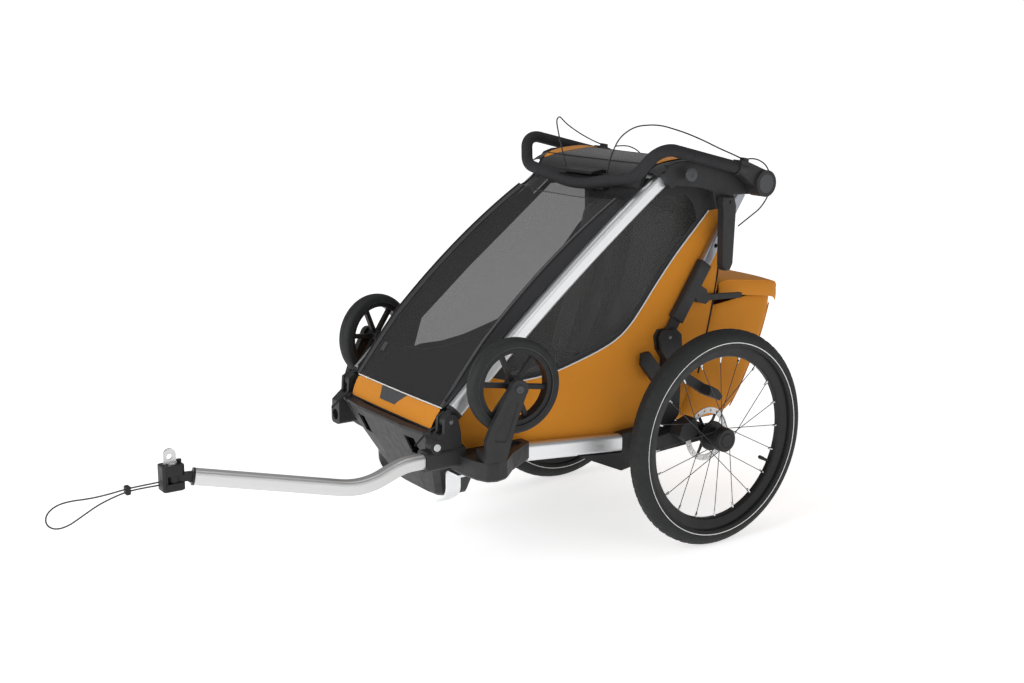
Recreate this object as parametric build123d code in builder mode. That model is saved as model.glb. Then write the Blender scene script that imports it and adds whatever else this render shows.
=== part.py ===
"""Child bicycle trailer with folding frame, swivelling stroller wheels and hitch arm.

Millimetres, +X forward to the hitch, +Y to the child's left, +Z up.  The origin is on the
floor under the middle of the footprint.  Profiles are drawn in views whose own zero is the
point on the floor under the wheel axle, so side-view numbers read as "ahead of the axle, up".
"""

import os
from math import cos, pi, radians, sin, tan

from build123d import *

os.makedirs("parts", exist_ok=True)

# ---------------------------------------------------------------- driving dimensions
FRONT_REACH = 1230.0        # axle to the front of the hitch head
REAR_REACH = 320.0          # axle to the back of the bag lid
AXLE_X = (REAR_REACH - FRONT_REACH) / 2

WHEEL_R = 250.0             # 20 inch wheel with a fat tyre
WHEEL_Y = 295.5             # half the track
TYRE_R = 23.5               # tyre section
TYRE_WALL = 4.5
BEAD_R = 214.0              # rim edge
SPOKES = 20
AXLE_R = 6.0
RUN = 0.05                  # radial clearance of a running fit
GAP = 0.3                   # clearance between pieces that pass each other

TRACK = 200.0               # frame tubes, from the middle of the trailer
TUBE_W = 26.0               # frame tube, across
PILLAR_D = 36.0             # front pillar, in side view
RAIL_H = 40.0               # side rail, upright
CABIN_Y = 183.0             # inside half width of the cabin
CLOTH = 2.4                 # panels, as solids
FLOOR_Z = 260.0             # underside of the cabin floor
SILL = 372.0                # seam between the lower and upper side panels
GRIP_R = 13.5               # handlebar with its foam

FOLD = (662.0, 372.0)       # front pillar pivot, ahead of the axle and up
PILLAR_LOW = (641.0, 389.0)
PILLAR_MID = (382.0, 617.0)
PILLAR_TOP = (110.0, 828.0)
LEG_FOOT = (75.0, 475.0)    # rear leg pivot
LEG_ANGLE = 123.5           # rear leg, from forward
LEG_TOP = 375.0             # leg tube end, from its pivot
SUSPENSION = (150.0, 238.0)
HUB = (-145.0, 813.0)       # handlebar pivot
HUB_R = 30.0
LEVER = (-50.0, 776.0)      # fold lever pivot
RECEIVER = (205.0, 297.0)   # drawbar socket, left and up
RECEIVER_X = 722.0
SPARE = (-205.0, 297.0)     # shorter spare socket in the right casting
SPARE_X = 704.0
WING_Z = 257.0              # underside of the castings' wings
SOCKET_R = 12.5
BUTTON = (699.0, 326.0)     # drawbar release button
STEM = (602.0, 274.4)       # caster stem, ahead and left
CASTER = (555.5, 283.1, 446.7)
CASTER_R = 98.9
CASTER_TOE = 10.6
HITCH = (1206.0, 112.0)     # hitch pin, ahead and left
HEAD_GAP = (319.0, 333.0)   # slot in the hitch head
FRONT_BAR = (652.0, 300.0)
PEDAL = (48.0, 384.0)       # parking brake pivot

BAG_HINGE = (-12.0, 262.0)
LID_HINGE = (-112.0, 572.0)
BAG_Y = 155.0
LID_Y = 165.0

# ---------------------------------------------------------------- views and output
BASE = Plane(origin=(AXLE_X, 0, 0))


def side(y):
    """Side view at y: ahead of the axle, up.  It extrudes towards -Y."""
    return Plane(origin=(AXLE_X, y, 0), x_dir=(1, 0, 0), z_dir=(0, -1, 0))


def level(z):
    """Plan view at height z: ahead of the axle, left."""
    return Plane(origin=(AXLE_X, 0, z))


def across(x):
    """Front view at x ahead of the axle: left, up.  It extrudes forward."""
    return Plane(origin=(AXLE_X + x, 0, 0), x_dir=(0, 1, 0), z_dir=(1, 0, 0))


def cross_axis(spot):
    """The axis across the trailer through a side-view spot."""
    return Axis((AXLE_X + spot[0], 0, spot[1]), (0, 1, 0))


def write(part, name):
    part.label = name
    export_step(part, f"parts/{name}.step")


def write_left_and_right(part, name):
    """Write a left-hand piece and its mirror; name holds {} where the side goes."""
    write(part, name.format("left"))
    write(mirror(part, about=Plane.XZ), name.format("right"))


def outline(points, y):
    """A closed side-view outline at y, ready to extrude towards -Y."""
    with BuildSketch(side(y)) as face:
        with BuildLine():
            Polyline(*points, close=True)
        make_face()
    return face.sketch


def plan(points, z):
    """A closed plan-view outline at height z, ready to extrude upward."""
    with BuildSketch(level(z)) as face:
        with BuildLine():
            Polyline(*points, close=True)
        make_face()
    return face.sketch


def disc(spot, radius, y):
    """A round side-view face at y, ready to extrude towards -Y."""
    with BuildSketch(side(y)) as face:
        with Locations(spot):
            Circle(radius)
    return face.sketch


# ---------------------------------------------------------------- big wheels
def wheel_section(points):
    """A section to turn about the axle: offsets from the wheel plane, and radii."""
    with BuildSketch(across(0)) as section:
        with BuildLine():
            Polyline(*[(WHEEL_Y + off, WHEEL_R + radius) for off, radius in points], close=True)
        make_face()
    return section.sketch


def make_wheel():
    tyre_mid = WHEEL_R - TYRE_R
    centre = (WHEEL_Y, WHEEL_R + tyre_mid)
    with BuildPart() as tyre:
        with BuildSketch(across(0)) as section:
            with Locations(centre):
                Circle(TYRE_R)
                Circle(TYRE_R - TYRE_WALL, mode=Mode.SUBTRACT)
            with Locations((WHEEL_Y, WHEEL_R + BEAD_R - 2.5)):
                Rectangle(2 * TYRE_R, 5)
            with Locations(centre):
                Circle(TYRE_R, mode=Mode.INTERSECT)
            with Locations((WHEEL_Y, WHEEL_R + BEAD_R - 15)):
                Rectangle(26, 30, mode=Mode.SUBTRACT)
            with Locations((WHEEL_Y, WHEEL_R + BEAD_R - 11)):
                Rectangle(60, 12, mode=Mode.SUBTRACT)
        revolve(axis=cross_axis((0, WHEEL_R)))
    write_left_and_right(tyre.part, "wheel_{}_tyre")

    well = BEAD_R - 14
    half_rim = [(13, BEAD_R), (13, BEAD_R - 8), (9, 190), (5, 187)]
    half_bed = [(10.5, BEAD_R), (10.5, BEAD_R - 6), (8, well)]
    outer = half_rim + [(-off, radius) for off, radius in reversed(half_rim)]
    bed = [(-off, radius) for off, radius in half_bed] + list(reversed(half_bed))
    with BuildPart() as rim:
        revolve(wheel_section(outer + bed), axis=cross_axis((0, WHEEL_R)))
    write_left_and_right(rim.part, "wheel_{}_rim")

    with BuildPart() as spokes:
        for index in range(SPOKES):
            outside = index % 2 == 0
            lead = 1 if (index // 2) % 2 == 0 else -1
            flange_r = 24.0 if outside else 30.0
            flange_y = (15.0 if outside else -17.5) + 2.2 * lead
            rim_turn = radians(360 / SPOKES * index)
            hub_turn = rim_turn + lead * radians(72)
            start = Vector(
                AXLE_X + flange_r * cos(hub_turn), WHEEL_Y + flange_y, WHEEL_R + flange_r * sin(hub_turn)
            )
            end = Vector(AXLE_X + 187.5 * cos(rim_turn), WHEEL_Y, WHEEL_R + 187.5 * sin(rim_turn))
            run = end - start
            with BuildSketch(Plane(origin=start, z_dir=run)) as wire:
                Circle(0.9)
            extrude(amount=run.length)
            nipple_foot = end - run.normalized() * 11
            with BuildSketch(Plane(origin=nipple_foot, z_dir=run)) as nipple:
                Circle(1.9)
            extrude(amount=11)
    write_left_and_right(spokes.part, "wheel_{}_spokes")

    with BuildPart() as hub:
        profile = wheel_section([
            (-35, AXLE_R + RUN), (-35, 19), (-22, 19), (-20.5, 34), (-15, 34), (-13, 20),
            (10, 18), (12, 28), (18, 28), (20, 24), (22, 26.5), (29, 26.5), (31, 24.5),
            (31, 16 + RUN), (20, 16 + RUN), (20, AXLE_R + RUN),
        ])
        revolve(profile, axis=cross_axis((0, WHEEL_R)))
        with BuildSketch(side(WHEEL_Y - 35)) as rotor:
            with Locations((0, WHEEL_R)):
                Circle(62)
                Circle(49, mode=Mode.SUBTRACT)
                Circle(24)
                with PolarLocations(0, 6):
                    with Locations((36, 0)):
                        Rectangle(30, 7)
                Circle(11, mode=Mode.SUBTRACT)
                with PolarLocations(55.5, 18):
                    Circle(2.6, mode=Mode.SUBTRACT)
        extrude(amount=2)
    write_left_and_right(hub.part, "wheel_{}_hub")

    with BuildPart() as release:
        extrude(disc((0, WHEEL_R), 16, WHEEL_Y + 32.5), amount=8.5)
        fillet(release.faces().sort_by(Axis.Y)[-1].edges(), 2)
    write_left_and_right(release.part, "wheel_{}_release_button")


# ---------------------------------------------------------------- suspension
def make_swing_arm():
    inner = 214.0
    outer = 238.0
    with BuildPart() as arm:
        with BuildSketch(side(outer)) as blade:
            with BuildLine():
                Polyline(
                    (SUSPENSION[0], SUSPENSION[1] + 17), (95, 262), (30, 276), (0, 272),
                    (-18, 262), (-22, WHEEL_R), (-16, 234), (0, 228), (40, 226),
                    (SUSPENSION[0], SUSPENSION[1] - 17), close=True,
                )
            make_face()
            with Locations(SUSPENSION):
                Circle(18)
        extrude(amount=outer - inner)
        extrude(disc((0, WHEEL_R), 13, 256), amount=256 - outer)
        extrude(disc((0, WHEEL_R), AXLE_R, 260), amount=50, mode=Mode.SUBTRACT)
        extrude(disc(SUSPENSION, 5 + RUN, outer + 5), amount=40, mode=Mode.SUBTRACT)
    with BuildPart() as axle:
        extrude(disc((0, WHEEL_R), AXLE_R, WHEEL_Y + 19), amount=WHEEL_Y + 19 - inner)
    with BuildPart() as caliper:
        body = [(34, 262), (46, 298), (86, 285), (92, 262), (74, 246), (50, 250)]
        extrude(outline(body, 272), amount=272 - outer)
        fillet(caliper.edges().filter_by(Axis.Y), 3)
        extrude(disc((0, WHEEL_R), 64.5, 263), amount=6, mode=Mode.SUBTRACT)
    write_left_and_right(Compound(children=[arm.part, axle.part, caliper.part]), "swing_arm_{}")


# ---------------------------------------------------------------- chassis
def make_side_rails():
    front = (466.0, 272.0)
    back = (210.0, 250.0)
    path = Vector(front[0] - back[0], 0, front[1] - back[1])
    with BuildPart() as rails:
        with BuildSketch(across(back[0])) as tube:
            with Locations((TRACK, back[1])):
                RectangleRounded(TUBE_W, RAIL_H, 10)
                RectangleRounded(TUBE_W - 4, RAIL_H - 4, 8, mode=Mode.SUBTRACT)
        extrude(amount=path.length, dir=path.normalized())
        mirror(about=Plane.XZ)
    write(rails.part, "side_rails")


def make_front_castings():
    """Each side: drawbar socket, pillar clevis and the wing that carries a caster."""
    near = 186.0
    wing = [
        (466, near), (466, 215), (540, 262), (578, 297), (604, 303), (626, 294),
        (637, 268), (642, 224), (642, near),
    ]
    clevis = [
        (636, 290), (704, 300), (704, 330), (680, 350), (678, 380), (662, 389), (648, 383), (640, 350),
    ]
    clevis_gap = [(625, 346), (720, 346), (720, 400), (625, 400)]
    tray = [(482, 196), (482, 212), (545, 252), (570, 256), (584, 240), (590, 196)]
    with BuildPart() as castings:
        extrude(plan(wing, WING_Z), amount=298 - WING_Z)
        fillet(castings.edges().filter_by(Axis.Z).filter_by(lambda edge: edge.center().Y > 216), 8)
        chamfer(castings.faces().sort_by(Axis.Z)[0].edges(), 5)
        extrude(outline(clevis, 220), amount=220 - near)
        extrude(outline(clevis_gap, 212), amount=18, mode=Mode.SUBTRACT)
        extrude(disc(FOLD, 5, 225), amount=45, mode=Mode.SUBTRACT)
        with BuildSketch(level(WING_Z + 9)) as stem_hole:
            with Locations(STEM):
                Circle(11)
        extrude(amount=50, mode=Mode.SUBTRACT)
        extrude(plan(tray, 292), amount=10, mode=Mode.SUBTRACT)
        mirror(about=Plane.XZ)
        with BuildSketch(across(630)) as socket:
            with Locations(RECEIVER):
                RectangleRounded(38, 42, 9)
        extrude(amount=RECEIVER_X - 630)
        extrude(disc(BUTTON, 14, 224), amount=24)
        with BuildSketch(across(600)) as spare_socket:
            with Locations(SPARE):
                RectangleRounded(38, 42, 9)
        extrude(amount=SPARE_X - 600)
        with BuildSketch(across(RECEIVER_X)) as bore:
            with Locations(RECEIVER):
                Circle(SOCKET_R)
        extrude(amount=-80, mode=Mode.SUBTRACT)
        with BuildSketch(across(SPARE_X)) as spare_bore:
            with Locations(SPARE):
                Circle(SOCKET_R)
        extrude(amount=-60, mode=Mode.SUBTRACT)
        extrude(disc(BUTTON, 7.5 + RUN, 226), amount=12, mode=Mode.SUBTRACT)
    write(castings.part, "front_castings")


def make_rear_castings():
    """Each side: end of the side rail, suspension pivot and the post under the rear leg."""
    near = 187.0
    far = 211.0
    post = [
        (210, 271), (210, 229), (165, 220), (128, 220), (72, 256), (42, 292), (38, 440),
        (42, 478), (58, 492), (96, 492), (106, 478), (100, 446), (84, 425), (84, 330),
        (118, 292), (152, 274),
    ]
    step = [(176, 226), (183, 190), (209, 186), (330, 239.5), (210, 229.3), (200, 236)]
    with BuildPart() as castings:
        extrude(outline(post, far), amount=far - near)
        fillet(castings.edges().filter_by(Axis.Y).sort_by(Axis.X)[:-2], 4)
        extrude(outline(step, far), amount=far - near)
        slot = [(20, 446), (125, 446), (125, 500), (20, 500)]
        extrude(outline(slot, 204.5), amount=11, mode=Mode.SUBTRACT)
        extrude(disc(LEG_FOOT, 5, far + 1), amount=30, mode=Mode.SUBTRACT)
        extrude(disc(SUSPENSION, 5, far + 1), amount=20, mode=Mode.SUBTRACT)
        mirror(about=Plane.XZ)
    write(castings.part, "rear_castings")


def make_cross_tubes():
    """The bar across the front of the footwell, and the tube between the suspension pivots."""
    with BuildPart() as tubes:
        with BuildSketch(side(186)) as front:
            with Locations(FRONT_BAR):
                RectangleRounded(20, 38, 9)
                RectangleRounded(16, 34, 7, mode=Mode.SUBTRACT)
        extrude(amount=372)
        with BuildSketch(side(187)) as rear:
            with Locations((165, 247)):
                Circle(13)
                Circle(11, mode=Mode.SUBTRACT)
        extrude(amount=374)
    write(tubes.part, "cross_tubes")


def scoop_ring(station, wall, back):
    """Level section of the footwell: its front corners are cut and its front bows forward."""
    height, nose, half = station
    nose -= wall
    half -= wall
    bow = half / 22
    return plan([
        (back, -half), (nose - 12, -half), (nose, 12 - half), (nose + bow, -half / 2),
        (nose + bow, half / 2), (nose, half - 12), (nose - 12, half), (back, half),
    ], height)


def make_footwell():
    """The scoop for the child's feet, open to the cabin above the floor."""
    stations = [(168, 610, 92), (176, 620, 99), (FLOOR_Z, 660, 149), (312, 684, 181), (345, 700, 182.7)]
    with BuildPart() as scoop:
        for low, high in zip(stations, stations[1:]):
            loft([scoop_ring(low, 0, 548), scoop_ring(high, 0, 548)], ruled=True)
        for low, high in zip(stations[1:], stations[2:]):
            back = 540 if low[0] >= FLOOR_Z else 552
            loft([scoop_ring(low, 4, back), scoop_ring(high, 4, back)], ruled=True, mode=Mode.SUBTRACT)
        extrude(scoop_ring(stations[-1], 0, 648), amount=-6)
        extrude(scoop_ring(stations[-1], 20, 640), amount=-6, mode=Mode.SUBTRACT)
        with BuildSketch(across(760)) as windows:
            with Locations((103, 298), (-103, 298)):
                Rectangle(36, 42)
        extrude(amount=-100, mode=Mode.SUBTRACT)
        with BuildSketch(side(190)) as bar:
            with Locations(FRONT_BAR):
                RectangleRounded(20, 38, 9)
        extrude(amount=380, mode=Mode.SUBTRACT)
    write(scoop.part, "footwell_bumper")

    with BuildPart() as brackets:
        with BuildSketch(across(595)) as strap:
            with BuildLine():
                FilletPolyline((192, 243.4), (146, 243.4), (146, 190), (104, 165), radius=[8, 30])
            trace(line_width=5)
        extrude(amount=34)
        mirror(about=Plane.XZ)
    write(brackets.part, "footwell_brackets")


def make_cabin():
    with BuildPart() as floor:
        with BuildSketch(level(FLOOR_Z)) as board:
            with Locations((304, 0)):
                Rectangle(488, 2 * CABIN_Y)
        extrude(amount=5)
    write(floor.part, "cabin_floor")

    skirt = [(60, 262), (560, 262), (637, 281), (637, 322), (652, 342), (634, SILL), (-34, SILL), (40, 262)]
    gable = [
        (-34, SILL), (634, SILL), (612, 398), (497, 500), (382, 598), (255, 700), (128, 797),
        (100, 806), (62, 812), (52, 842), (-18, 848), (-72, 780), (-88, 700), (-86, 570),
    ]
    window = [
        (390, 428), (330, 442), (275, 460), (226, 482), (186, 514), (150, 556), (106, 608), (50, 670),
        (8, 722), (6, 770), (30, 790), (75, 792), (110, 780), (230, 688), (345, 596), (470, 493),
        (498, 462), (480, 442), (440, 430),
    ]
    outer = CABIN_Y + GAP + CLOTH
    with BuildPart() as lower:
        extrude(outline(skirt, outer), amount=CLOTH)
        mirror(about=Plane.XZ)
    write(lower.part, "lower_side_panels")
    with BuildPart() as upper:
        extrude(outline(gable, outer), amount=CLOTH)
        extrude(outline(window, outer), amount=CLOTH, mode=Mode.SUBTRACT)
        mirror(about=Plane.XZ)
    write(upper.part, "upper_side_panels")
    with BuildPart() as panes:
        extrude(outline(window, outer - 0.7), amount=1)
        mirror(about=Plane.XZ)
    write(panes.part, "side_windows")

    back_panel = [
        (42, 270), (-34, SILL), (-84, 570), (-86, 700), (-70, 780), (-18, 845),
        (-14, 843), (-66, 778), (-82, 700), (-80, 570), (-30, SILL + 1), (46, 271),
    ]
    with BuildPart() as back:
        extrude(outline(back_panel, CABIN_Y), amount=2 * CABIN_Y)
    write(back.part, "rear_panel")

    base = [(128, 265), (390, 265), (402, 300), (400, 350), (384, 366), (172, 362), (152, 350), (128, 300)]
    with BuildPart() as cushion:
        extrude(outline(base, 160), amount=320)
    write(cushion.part, "seat_cushion")
    rest = [(118, 380), (146, 367), (160, 380), (98, 560), (50, 745), (36, 764), (12, 766), (-4, 735), (56, 556)]
    with BuildPart() as back_rest:
        extrude(outline(rest, 158), amount=316)
    write(back_rest.part, "seat_back")


def make_cargo_bag():
    """The bag behind the cabin, open on top, and its lipped lid."""
    shell = [
        (-102, 554), (-300, 524), (-296, 480), (-262, 400), (-205, 286), (-178, 254), (-110, 242),
        (-34, 250), (-16, 274), (-24, 305),
    ]
    room = [
        (-106, 600), (-296, 600), (-296, 520), (-292, 481), (-258, 402), (-202, 289), (-176, 258),
        (-110, 246), (-37, 254), (-20, 276), (-28, 306),
    ]
    with BuildPart() as bag:
        extrude(outline(shell, BAG_Y), amount=2 * BAG_Y)
        extrude(outline(room, BAG_Y - 4), amount=2 * BAG_Y - 8, mode=Mode.SUBTRACT)
    write(bag.part, "cargo_bag")

    cap = [(-108, 562), (-108, 574), (-120, 586), (-290, 567), (-312, 561), (-REAR_REACH, 548), (-316, 520)]
    under = [(-102, 570), (-122, 578), (-290, 559), (-307, 554), (-310, 546), (-308, 500), (-102, 548)]
    with BuildPart() as lid:
        extrude(outline(cap + [(-304, 518)], LID_Y), amount=2 * LID_Y)
        extrude(outline(under, LID_Y - 5), amount=2 * LID_Y - 10, mode=Mode.SUBTRACT)
    write(lid.part, "cargo_lid")


def make_pins():
    """Hinge pins that stay in the chassis, and the pedal's pin on the left post."""
    with BuildPart() as pins:
        extrude(disc(FOLD, 5, 219), amount=32)
        extrude(disc(LEG_FOOT, 5, 210), amount=22)
        extrude(disc(SUSPENSION, 5, 240), amount=48)
        mirror(about=Plane.XZ)
        extrude(disc(PEDAL, 4, 227), amount=16)
    write(pins.part, "frame_pins")


def make_brake_pedal():
    bar = [(60, 390), (44, 396), (-40, 346), (-54, 328), (-44, 320), (-20, 331), (40, 370), (58, 376)]
    pad = [(-18, 358), (-40, 346), (-54, 328), (-44, 320), (-12, 336)]
    with BuildPart() as pedal:
        extrude(outline(bar, 227), amount=14)
        extrude(outline(pad, 252), amount=39)
        extrude(disc(PEDAL, 4 + RUN, 230), amount=20, mode=Mode.SUBTRACT)
    write(pedal.part, "brake_pedal")


# ---------------------------------------------------------------- upper frame
def make_pillars():
    with BuildLine(side(TRACK)) as line:
        ThreePointArc(PILLAR_LOW, PILLAR_MID, PILLAR_TOP)
    curve = line.wires()[0]
    foot = Plane(origin=curve @ 0, x_dir=(0, 1, 0), z_dir=curve % 0)
    with BuildPart() as pillars:
        with BuildSketch(foot) as tube:
            RectangleRounded(TUBE_W, PILLAR_D, 11)
            RectangleRounded(TUBE_W - 4, PILLAR_D - 4, 9, mode=Mode.SUBTRACT)
        sweep(path=curve)
        mirror(about=Plane.XZ)
    write(pillars.part, "pillars")

    neck = [(650, 397), (634, 378), (654, 360), (674, 380)]
    with BuildPart() as feet:
        with BuildSketch(foot) as plug:
            RectangleRounded(TUBE_W - 4.2, PILLAR_D - 4.2, 8.8)
        extrude(amount=20)
        with BuildSketch(foot) as collar:
            RectangleRounded(TUBE_W, PILLAR_D, 11)
        extrude(amount=-7)
        extrude(outline(neck, 211.7), amount=17.4)
        extrude(disc(FOLD, 14, 211.7), amount=17.4)
        extrude(disc(FOLD, 5 + RUN, 215), amount=30, mode=Mode.SUBTRACT)
        mirror(about=Plane.XZ)
    write(feet.part, "pillar_feet")


def make_top_arms():
    """Each side, from the pillar's top to the handlebar pivot, with its shaft and lever pin."""
    plate = [
        (126, 846), (112, 862), (88, 869), (20, 871), (-60, 863), (-105, 851), (-145, 840),
        (-166, 830), (-172, 813), (-166, 796), (-145, 786), (-84, 788), (-70, 762), (-32, 760),
        (-20, 798), (15, 809), (90, 818), (104, 812),
    ]
    block = [(120.8, 842.4), (99.2, 813.6), (60, 812), (60, 842), (112, 845)]
    with BuildPart() as arms:
        extrude(outline(plate, 231), amount=18)
        chamfer(arms.faces().sort_by(Axis.Y)[-1].edges(), 1.5)
        extrude(outline(block, 213), amount=26)
        extrude(disc(HUB, 8, 258), amount=30)
        extrude(disc(LEVER, 4, 252), amount=23)
        mirror(about=Plane.XZ)
    write(arms.part, "top_arms")

    with BuildPart() as tube:
        extrude(disc((80, 832), 10, 187), amount=374)
        extrude(disc((80, 832), 8, 188), amount=376, mode=Mode.SUBTRACT)
    write(tube.part, "roof_cross_tube")

    shade = [
        (207, 783), (186, 789), (164, 799), (151, 812), (138, 838), (120, 858), (98, 867), (20, 874), (-18, 868),
        (-20, 852), (20, 859), (92, 852), (108, 846.5), (126, 830), (140, 806), (160, 792), (184, 783), (204, 778),
    ]
    corner = [(121, 855), (96, 867), (60, 870.5), (60, 862), (112, 849)]
    with BuildPart() as roof:
        extrude(outline(shade, CABIN_Y), amount=2 * CABIN_Y)
        extrude(outline(corner, 204), amount=408)
    write(roof.part, "roof_canopy")

    paddle = [
        (-34, 788), (-30, 776), (-34, 760), (-38, 634), (-46, 621), (-60, 621), (-68, 636),
        (-72, 766), (-64, 788),
    ]
    with BuildPart() as levers:
        extrude(outline(paddle, 254), amount=21.5)
        chamfer(levers.faces().sort_by(Axis.Y)[-1].edges(), 3)
        extrude(disc(LEVER, 4 + RUN, 260), amount=30, mode=Mode.SUBTRACT)
        mirror(about=Plane.XZ)
    write(levers.part, "fold_levers")


def make_front_cover():
    """Mesh cover and its hem: it hooks on at the bottom and turns up about its top edge."""
    with BuildPart() as cover:
        with BuildSketch(side(CABIN_Y - 1)) as mesh:
            with BuildLine():
                ThreePointArc((658, 392), (432, 614), (212, 781))
            trace(line_width=CLOTH)
        extrude(amount=2 * CABIN_Y - 2)
        with BuildSketch(side(CABIN_Y - 9)) as hem:
            with BuildLine():
                Line((678, 355), (658, 388))
            trace(line_width=CLOTH)
        extrude(amount=2 * CABIN_Y - 18)
    write(cover.part, "front_cover")


# ---------------------------------------------------------------- rear legs
def along_leg(distance, y=TRACK):
    """Section of the rear leg at a distance from its pivot; it extrudes up the leg."""
    ahead = cos(radians(LEG_ANGLE))
    up = sin(radians(LEG_ANGLE))
    return Plane(
        origin=(AXLE_X + LEG_FOOT[0] + ahead * distance, y, LEG_FOOT[1] + up * distance),
        x_dir=(0, 1, 0), z_dir=(ahead, 0, up),
    )


def make_legs():
    """Each side: a sleeve on the lower pivot and the tube that slides in it."""
    clamp = [(-4, 590), (-30, 574), (-40, 548), (-28, 540), (-6, 546), (10, 566)]
    strut = [(-28, 560), (-152, 553), (-152, 541), (-28, 546)]
    with BuildPart() as sleeves:
        with BuildSketch(along_leg(44)) as outer:
            RectangleRounded(22, 34, 5)
        extrude(amount=146)
        with BuildSketch(along_leg(0, 199)) as tongue:
            Rectangle(10, 24)
        extrude(amount=46)
        extrude(disc(LEG_FOOT, 12, 204), amount=10)
        extrude(outline(clamp, 211), amount=22)
        extrude(outline(strut, 200), amount=11)
        with BuildSketch(along_leg(55)) as bore:
            RectangleRounded(16.2, 26.2, 4)
        extrude(amount=150, mode=Mode.SUBTRACT)
        extrude(disc(LEG_FOOT, 5 + RUN, 215), amount=30, mode=Mode.SUBTRACT)
        mirror(about=Plane.XZ)
    write(sleeves.part, "leg_sleeves")

    hole = along_leg(236).origin
    with BuildPart() as tubes:
        with BuildSketch(along_leg(130)) as tube:
            RectangleRounded(16, 26, 4)
            RectangleRounded(12.4, 22.4, 3, mode=Mode.SUBTRACT)
        extrude(amount=LEG_TOP - 130)
        extrude(disc((hole.X - AXLE_X, hole.Z), 5, 212), amount=24, mode=Mode.SUBTRACT)
        mirror(about=Plane.XZ)
    write(tubes.part, "leg_tubes")


# ---------------------------------------------------------------- handlebar
def place(spot):
    """A point given as ahead of the axle, left and up."""
    return Vector(AXLE_X + spot[0], spot[1], spot[2])


def make_handlebar():
    start = (-92, 250, 845.7)
    left = [start, (150, 247, 904), (182, 199, 836)]
    right = [(x, -y, z) for x, y, z in reversed(left)]
    with BuildLine() as line:
        FilletPolyline(*[place(spot) for spot in left + [(188, 0, 806)] + right], radius=[48, 52, 400, 52, 48])
    curve = line.wires()[0]
    with BuildPart() as grip:
        with BuildSketch(Plane(origin=curve @ 0, z_dir=curve % 0)) as tube:
            Circle(GRIP_R)
        sweep(path=curve)
    write(grip.part, "handlebar_tube")

    arm = Plane(origin=place(start), z_dir=(228, 0, 55))
    web = [(-146, 843), (-96, 862), (-72, 868), (-68, 838), (-110, 812), (-130, 800)]
    clip = [(-100, 856), (-100, 870), (-84, 873), (-84, 856)]
    with BuildPart() as hubs:
        extrude(disc(HUB, HUB_R, 270), amount=37.7)
        extrude(outline(web, 264), amount=28)
        with BuildSketch(arm) as socket:
            Circle(GRIP_R + 3)
        extrude(amount=26)
        extrude(outline(clip, 256), amount=12)
        with BuildSketch(arm) as bore:
            Circle(GRIP_R)
        extrude(amount=40, mode=Mode.SUBTRACT)
        extrude(disc(HUB, 8 + RUN, 259), amount=30, mode=Mode.SUBTRACT)
        extrude(disc(HUB, 22 + RUN, 271), amount=9, mode=Mode.SUBTRACT)
        mirror(about=Plane.XZ)
    write(hubs.part, "handlebar_hubs")

    with BuildPart() as button:
        extrude(disc(HUB, 22, 270.5), amount=5.4)
        chamfer(button.faces().sort_by(Axis.Y)[-1].edges(), 1)
    write(button.part, "handlebar_button_left")
    write(mirror(button.part, about=Plane.XZ), "handlebar_button_right")

    saddle = [(184, 826), (172, 829), (156, 831), (152, 826), (163, 808), (176, 800)]
    with BuildPart() as housing:
        extrude(outline(saddle, 84), amount=168)
        with BuildSketch(Plane(origin=curve @ 0, z_dir=curve % 0)) as grip_room:
            Circle(GRIP_R)
        sweep(path=curve, mode=Mode.SUBTRACT)
    write(housing.part, "brake_housing")
    blade = [(150, 835), (150, 840), (160, 843), (190, 839), (194, 834), (188, 832.6), (160, 834.6)]
    with BuildPart() as lever:
        extrude(outline(blade, 62), amount=124)
        extrude(disc((154, 838), 3, 62), amount=124)
    write(lever.part, "brake_lever")


def corner_radii(points):
    """Radii that let each bend of a cord use most of its two runs."""
    radii = []
    for before, corner, after in zip(points, points[1:], points[2:]):
        run_in = Vector(*corner) - Vector(*before)
        run_out = Vector(*after) - Vector(*corner)
        turn = radians(run_in.get_angle(run_out))
        radii.append(0.45 * min(run_in.length, run_out.length) / tan(turn / 2))
    return radii


def cord(points, diameter):
    """A cord through a hand-laid route; prints its tightest bend, its length and its volume."""
    radii = corner_radii(points)
    with BuildLine() as line:
        FilletPolyline(*[place(spot) for spot in points], radius=radii)
    curve = line.wires()[0]
    with BuildPart() as tube:
        with BuildSketch(Plane(origin=curve @ 0, z_dir=curve % 0)) as section:
            Circle(diameter / 2)
        sweep(path=curve)
    expected = curve.length * pi * diameter ** 2 / 4
    print("cord: radii", [round(radius) for radius in radii])
    print(f"cord: length {curve.length:.1f}, volume {tube.part.volume:.1f}, expected {expected:.1f}")
    return tube.part


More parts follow.
